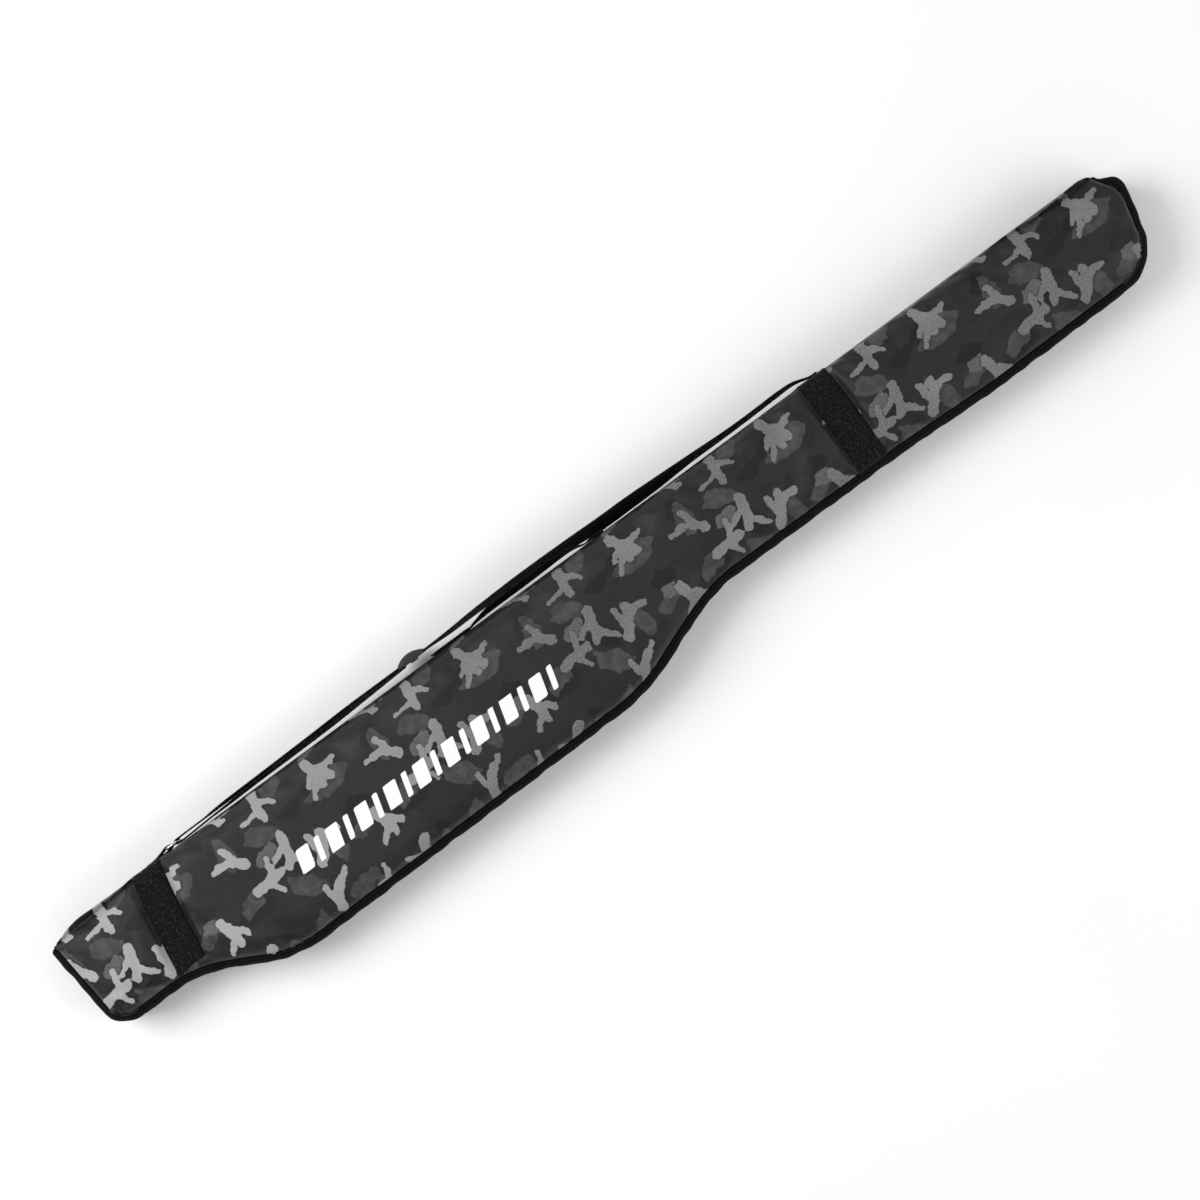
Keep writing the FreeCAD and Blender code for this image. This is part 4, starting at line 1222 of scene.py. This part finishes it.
def band_strip(name, half, front):
    """Half of a webbing band, as a sheet."""
    rows = band_rows(name)
    across = np.linspace(-WEBBING / 2, WEBBING / 2, 15)
    places, uvs = [], []
    run = 0.0
    for i, (y, z) in enumerate(rows):
        if i:
            run += math.hypot(y - rows[i - 1][0], z - rows[i - 1][1])
        for w in across:
            sag = 0.35 * (abs(w) / (WEBBING / 2)) ** 6
            x = float(band_middle(name, min(y, 0))) + w
            depth = max(flipped(z - sag * (z > DEPTH - 1), front), BAND_FLOOR)
            places.append((x, y, depth))
            uvs.append((run / 1000, (w + WEBBING / 2) / 1000))
    faces = grid_faces(len(rows), len(across))
    if front:
        faces = [face[::-1] for face in faces]
    return new_mesh(f"{name}_band_strip_{half}", places, faces, WEB, uvs)


def make_bands():
    """The two webbing bands, wrapped over the straight edge and sewn into both panel seams."""
    for name in BANDS:
        rows = np.array(band_rows(name))
        lean = np.gradient(rows, axis=0)
        for half, front in HALVES:
            band = band_strip(name, half, front)
            thicken(band, BAND_THICK)
            ride_half(band, front)
            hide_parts(f"{name}_band_{half}")
            normal = np.column_stack([np.zeros(len(rows)), lean[:, 1], -lean[:, 0]])
            normal[:, 2] *= 1 if front else -1
            seams = []
            for place in (-BAND_SEAM, BAND_SEAM):
                line = [(float(band_middle(name, min(y, 0))) + place, y,
                         max(flipped(z, front), BAND_FLOOR)) for y, z in rows]
                seams.append((np.array(line) + unit_rows(normal) * 0.05, normal))
            ride_half(stitches(f"{name}_band_thread_{half}", seams), front)


def strap_piece(name, route, width, thick, node, body="back_half"):
    """A ribbon in the place of its CAD node."""
    finish_piece(ribbon(name, route, width, thick), "webbing", body, node)


def make_straps():
    """Shoulder strap, its doubled end, the carry handle and what holds them."""
    ring_x, ring_y, ring_bend = 190.0, 3.9, 2.5
    loop = [(232, 6.85, 0), (206, 6.7, 0)]
    for turn in np.radians(range(90, 271, 30)):
        loop.append((ring_x + ring_bend * math.cos(turn), ring_y + ring_bend * math.sin(turn), 0))
    loop += [(206, 1.9, 0), (232, 3.1, 0)]
    strap_piece("strap_loop", loop, WEBBING, 1.5, "strap_end_ring")

    strap_piece("strap_main", [
        (232, 6.9, 0), (260, 7.9, 3), (320, 8.4, 5), (380, 9.2, 6), (440, 11.0, 5),
        (508, 12.3, 1), (546, 12.6, 1), (580, 12.4, 5), (620, 13.6, 8), (680, 13.8, 12),
        (740, 12.2, 16), (795, 9.4, 21), (830, 9.2, 21), (870, 8.6, 18), (920, 8.5, 11),
        (980, 7.2, 7), (1044, 8.2, 6)], WEBBING, 1.8, "strap_webbing", "shoulder_strap")

    back = ribbon("strap_doubled", [
        (232, 3.1, 0), (268, 3.9, 2), (300, 5.2, 4), (400, 6.8, 6), (470, 8.9, 4),
        (516, 10.0, 1)], WEBBING, 1.5)
    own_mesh(back)
    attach(back, "shoulder_strap")
    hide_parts("strap_return")

    strap_piece("strap_sewn_end", [
        (1044, 8.2, 6), (1060, 7.8, 4), (1072, 5.4, 1), (1081, 2.7, 0), (1092, 2.2, 0)],
        WEBBING, 1.6, "strap_end_band")

    strap_piece("handle_webbing", [
        (550, 1.0, 0), (596, 1.0, 0), (610, 3.6, 4), (636, 6.6, 14), (690, 7.2, 16),
        (735, 7.4, 12), (752, 5.0, 5), (764, 1.6, 0), (790, 1.0, 0)], 25.0, 1.6, "carry_handle")

    for end, start, finish in (("butt", 548, 602), ("tip", 768, 794)):
        strap_piece(f"handle_cover_{end}", [
            (start, 1.9, 0), (start + 3, 2.5, 0), (finish - 3, 2.5, 0), (finish, 1.9, 0)],
            29.0, 1.3, f"handle_patch_{end}")
        low, high, face = MIDDLE - 11.5, MIDDLE + 11.5, 3.2
        left, right = start + 5.5, finish - 5.5
        corners = [(left, face, low), (right, face, low), (right, face, high), (left, face, high)]
        rows = [([corners[i - 1], corners[i]], (0, 1, 0)) for i in range(4)]
        rows += [([corners[i], corners[i + 2]], (0, 1, 0)) for i in range(2)]
        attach(stitches(f"handle_thread_{end}", rows), "back_half")

    strap_piece("ring_tab_webbing", [
        (146, 0.9, 0), (158, 1.6, 0), (168, 4.0, 0), (174.5, 6.0, 0), (177, 6.4, 0),
        (179.4, 5.2, 0), (179.8, 3.9, 0), (179.2, 2.6, 0), (177, 1.4, 0), (172, 0.9, 0),
        (160, 0.7, 0)], WEBBING, 1.4, "ring_tab")


# ---------------------------------------------------------------- hard parts

def refined(node, name, slot, body, material, bevel):
    """A CAD part with softened edges, in its own place."""
    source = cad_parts[node]
    thing = bpy.data.objects.new(name, source.data.copy())
    bpy.context.scene.collection.objects.link(thing)
    thing.data.materials.clear()
    thing.data.materials.append(material)
    work = bmesh.new()
    work.from_mesh(thing.data)
    bmesh.ops.remove_doubles(work, verts=work.verts, dist=1e-6)
    bmesh.ops.dissolve_limit(work, angle_limit=math.radians(1), verts=work.verts, edges=work.edges)
    work.to_mesh(thing.data)
    work.free()
    soft = thing.modifiers.new("soft_edges", "BEVEL")
    soft.width = bevel / 1000
    soft.segments = 3
    soft.limit_method = "ANGLE"
    soft.angle_limit = math.radians(30)
    apply_modifiers(thing)
    thing.data.shade_smooth()
    return finish_piece(thing, slot, body, node)


def make_hard_parts():
    """Adjuster, zip sliders and their pulls, and better finishes for the ring and the stops."""
    refined("strap_adjuster", "adjuster_frame", "adjuster_plastic", "adjuster", ADJUSTER, 0.5)
    for end in ("butt", "tip"):
        refined(f"zip_slider_{end}", f"slider_body_{end}", "zip_metal", f"slider_{end}", ZIP_METAL,
                0.25)
        refined(f"zip_pull_{end}", f"pull_tab_{end}", "zip_metal", f"pull_{end}", ZIP_METAL, 0.3)
    for node, material in (("strap_ring", RING), ("zip_stops", ZIP_METAL)):
        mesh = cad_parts[node].data
        mesh.materials.clear()
        mesh.materials.append(material)


# ---------------------------------------------------------------- stage, light and camera

def make_stage():
    """A plain pale floor."""
    s = Shader("floor", 0.9, specular=0.1)
    place = s.place()
    color = s.mix(s.noise(place, 3.0, 2.0), srgb(243), srgb(247))
    mesh = bpy.data.meshes.new("floor")
    reach = 6.0
    corners = [(-reach, -reach, 0), (reach, -reach, 0), (reach, reach, 0), (-reach, reach, 0)]
    mesh.from_pydata(corners, [], [(0, 1, 2, 3)])
    mesh.materials.append(s.done(color))
    floor = bpy.data.objects.new("floor", mesh)
    floor.location.z = -0.0002
    bpy.context.scene.collection.objects.link(floor)


def make_lights():
    """Soft studio light: a pale room and two large lamps."""
    world = bpy.data.worlds.new("studio")
    world.use_nodes = True
    world.node_tree.nodes["Background"].inputs["Color"].default_value = (1, 1, 1, 1)
    world.node_tree.nodes["Background"].inputs["Strength"].default_value = 0.5
    bpy.context.scene.world = world
    lamps = {"key": ((-1.9, 1.6, 2.6), 2.2, 95), "fill": ((2.2, -1.8, 2.4), 2.6, 45)}
    for name, (place, size, power) in lamps.items():
        lamp = bpy.data.lights.new(name, "AREA")
        lamp.size = size
        lamp.energy = power
        thing = bpy.data.objects.new(name, lamp)
        thing.location = place
        thing.rotation_euler = (-Vector(place)).to_track_quat("-Z", "Y").to_euler()
        bpy.context.scene.collection.objects.link(thing)


def make_camera():
    """Looks straight down on the front panel, turned so that the tip points up to the right."""
    view_middle = (-0.0099, 0.0215)
    view_width = 1.3615
    view_height = 0.06
    view_turn = -36.4
    lens = 100.0
    camera = bpy.data.cameras.new("camera")
    camera.lens = lens
    camera.sensor_width = 36.0
    camera.clip_end = 50
    thing = bpy.data.objects.new("camera", camera)
    thing.location = (*view_middle, view_width * lens / camera.sensor_width + view_height)
    thing.rotation_euler = (0, 0, math.radians(view_turn))
    bpy.context.scene.collection.objects.link(thing)
    bpy.context.scene.camera = thing
    bpy.context.scene.view_settings.view_transform = "Standard"


make_shells()
make_linings()
make_edges()
make_bands()
make_straps()
make_hard_parts()
make_stage()
make_lights()
make_camera()
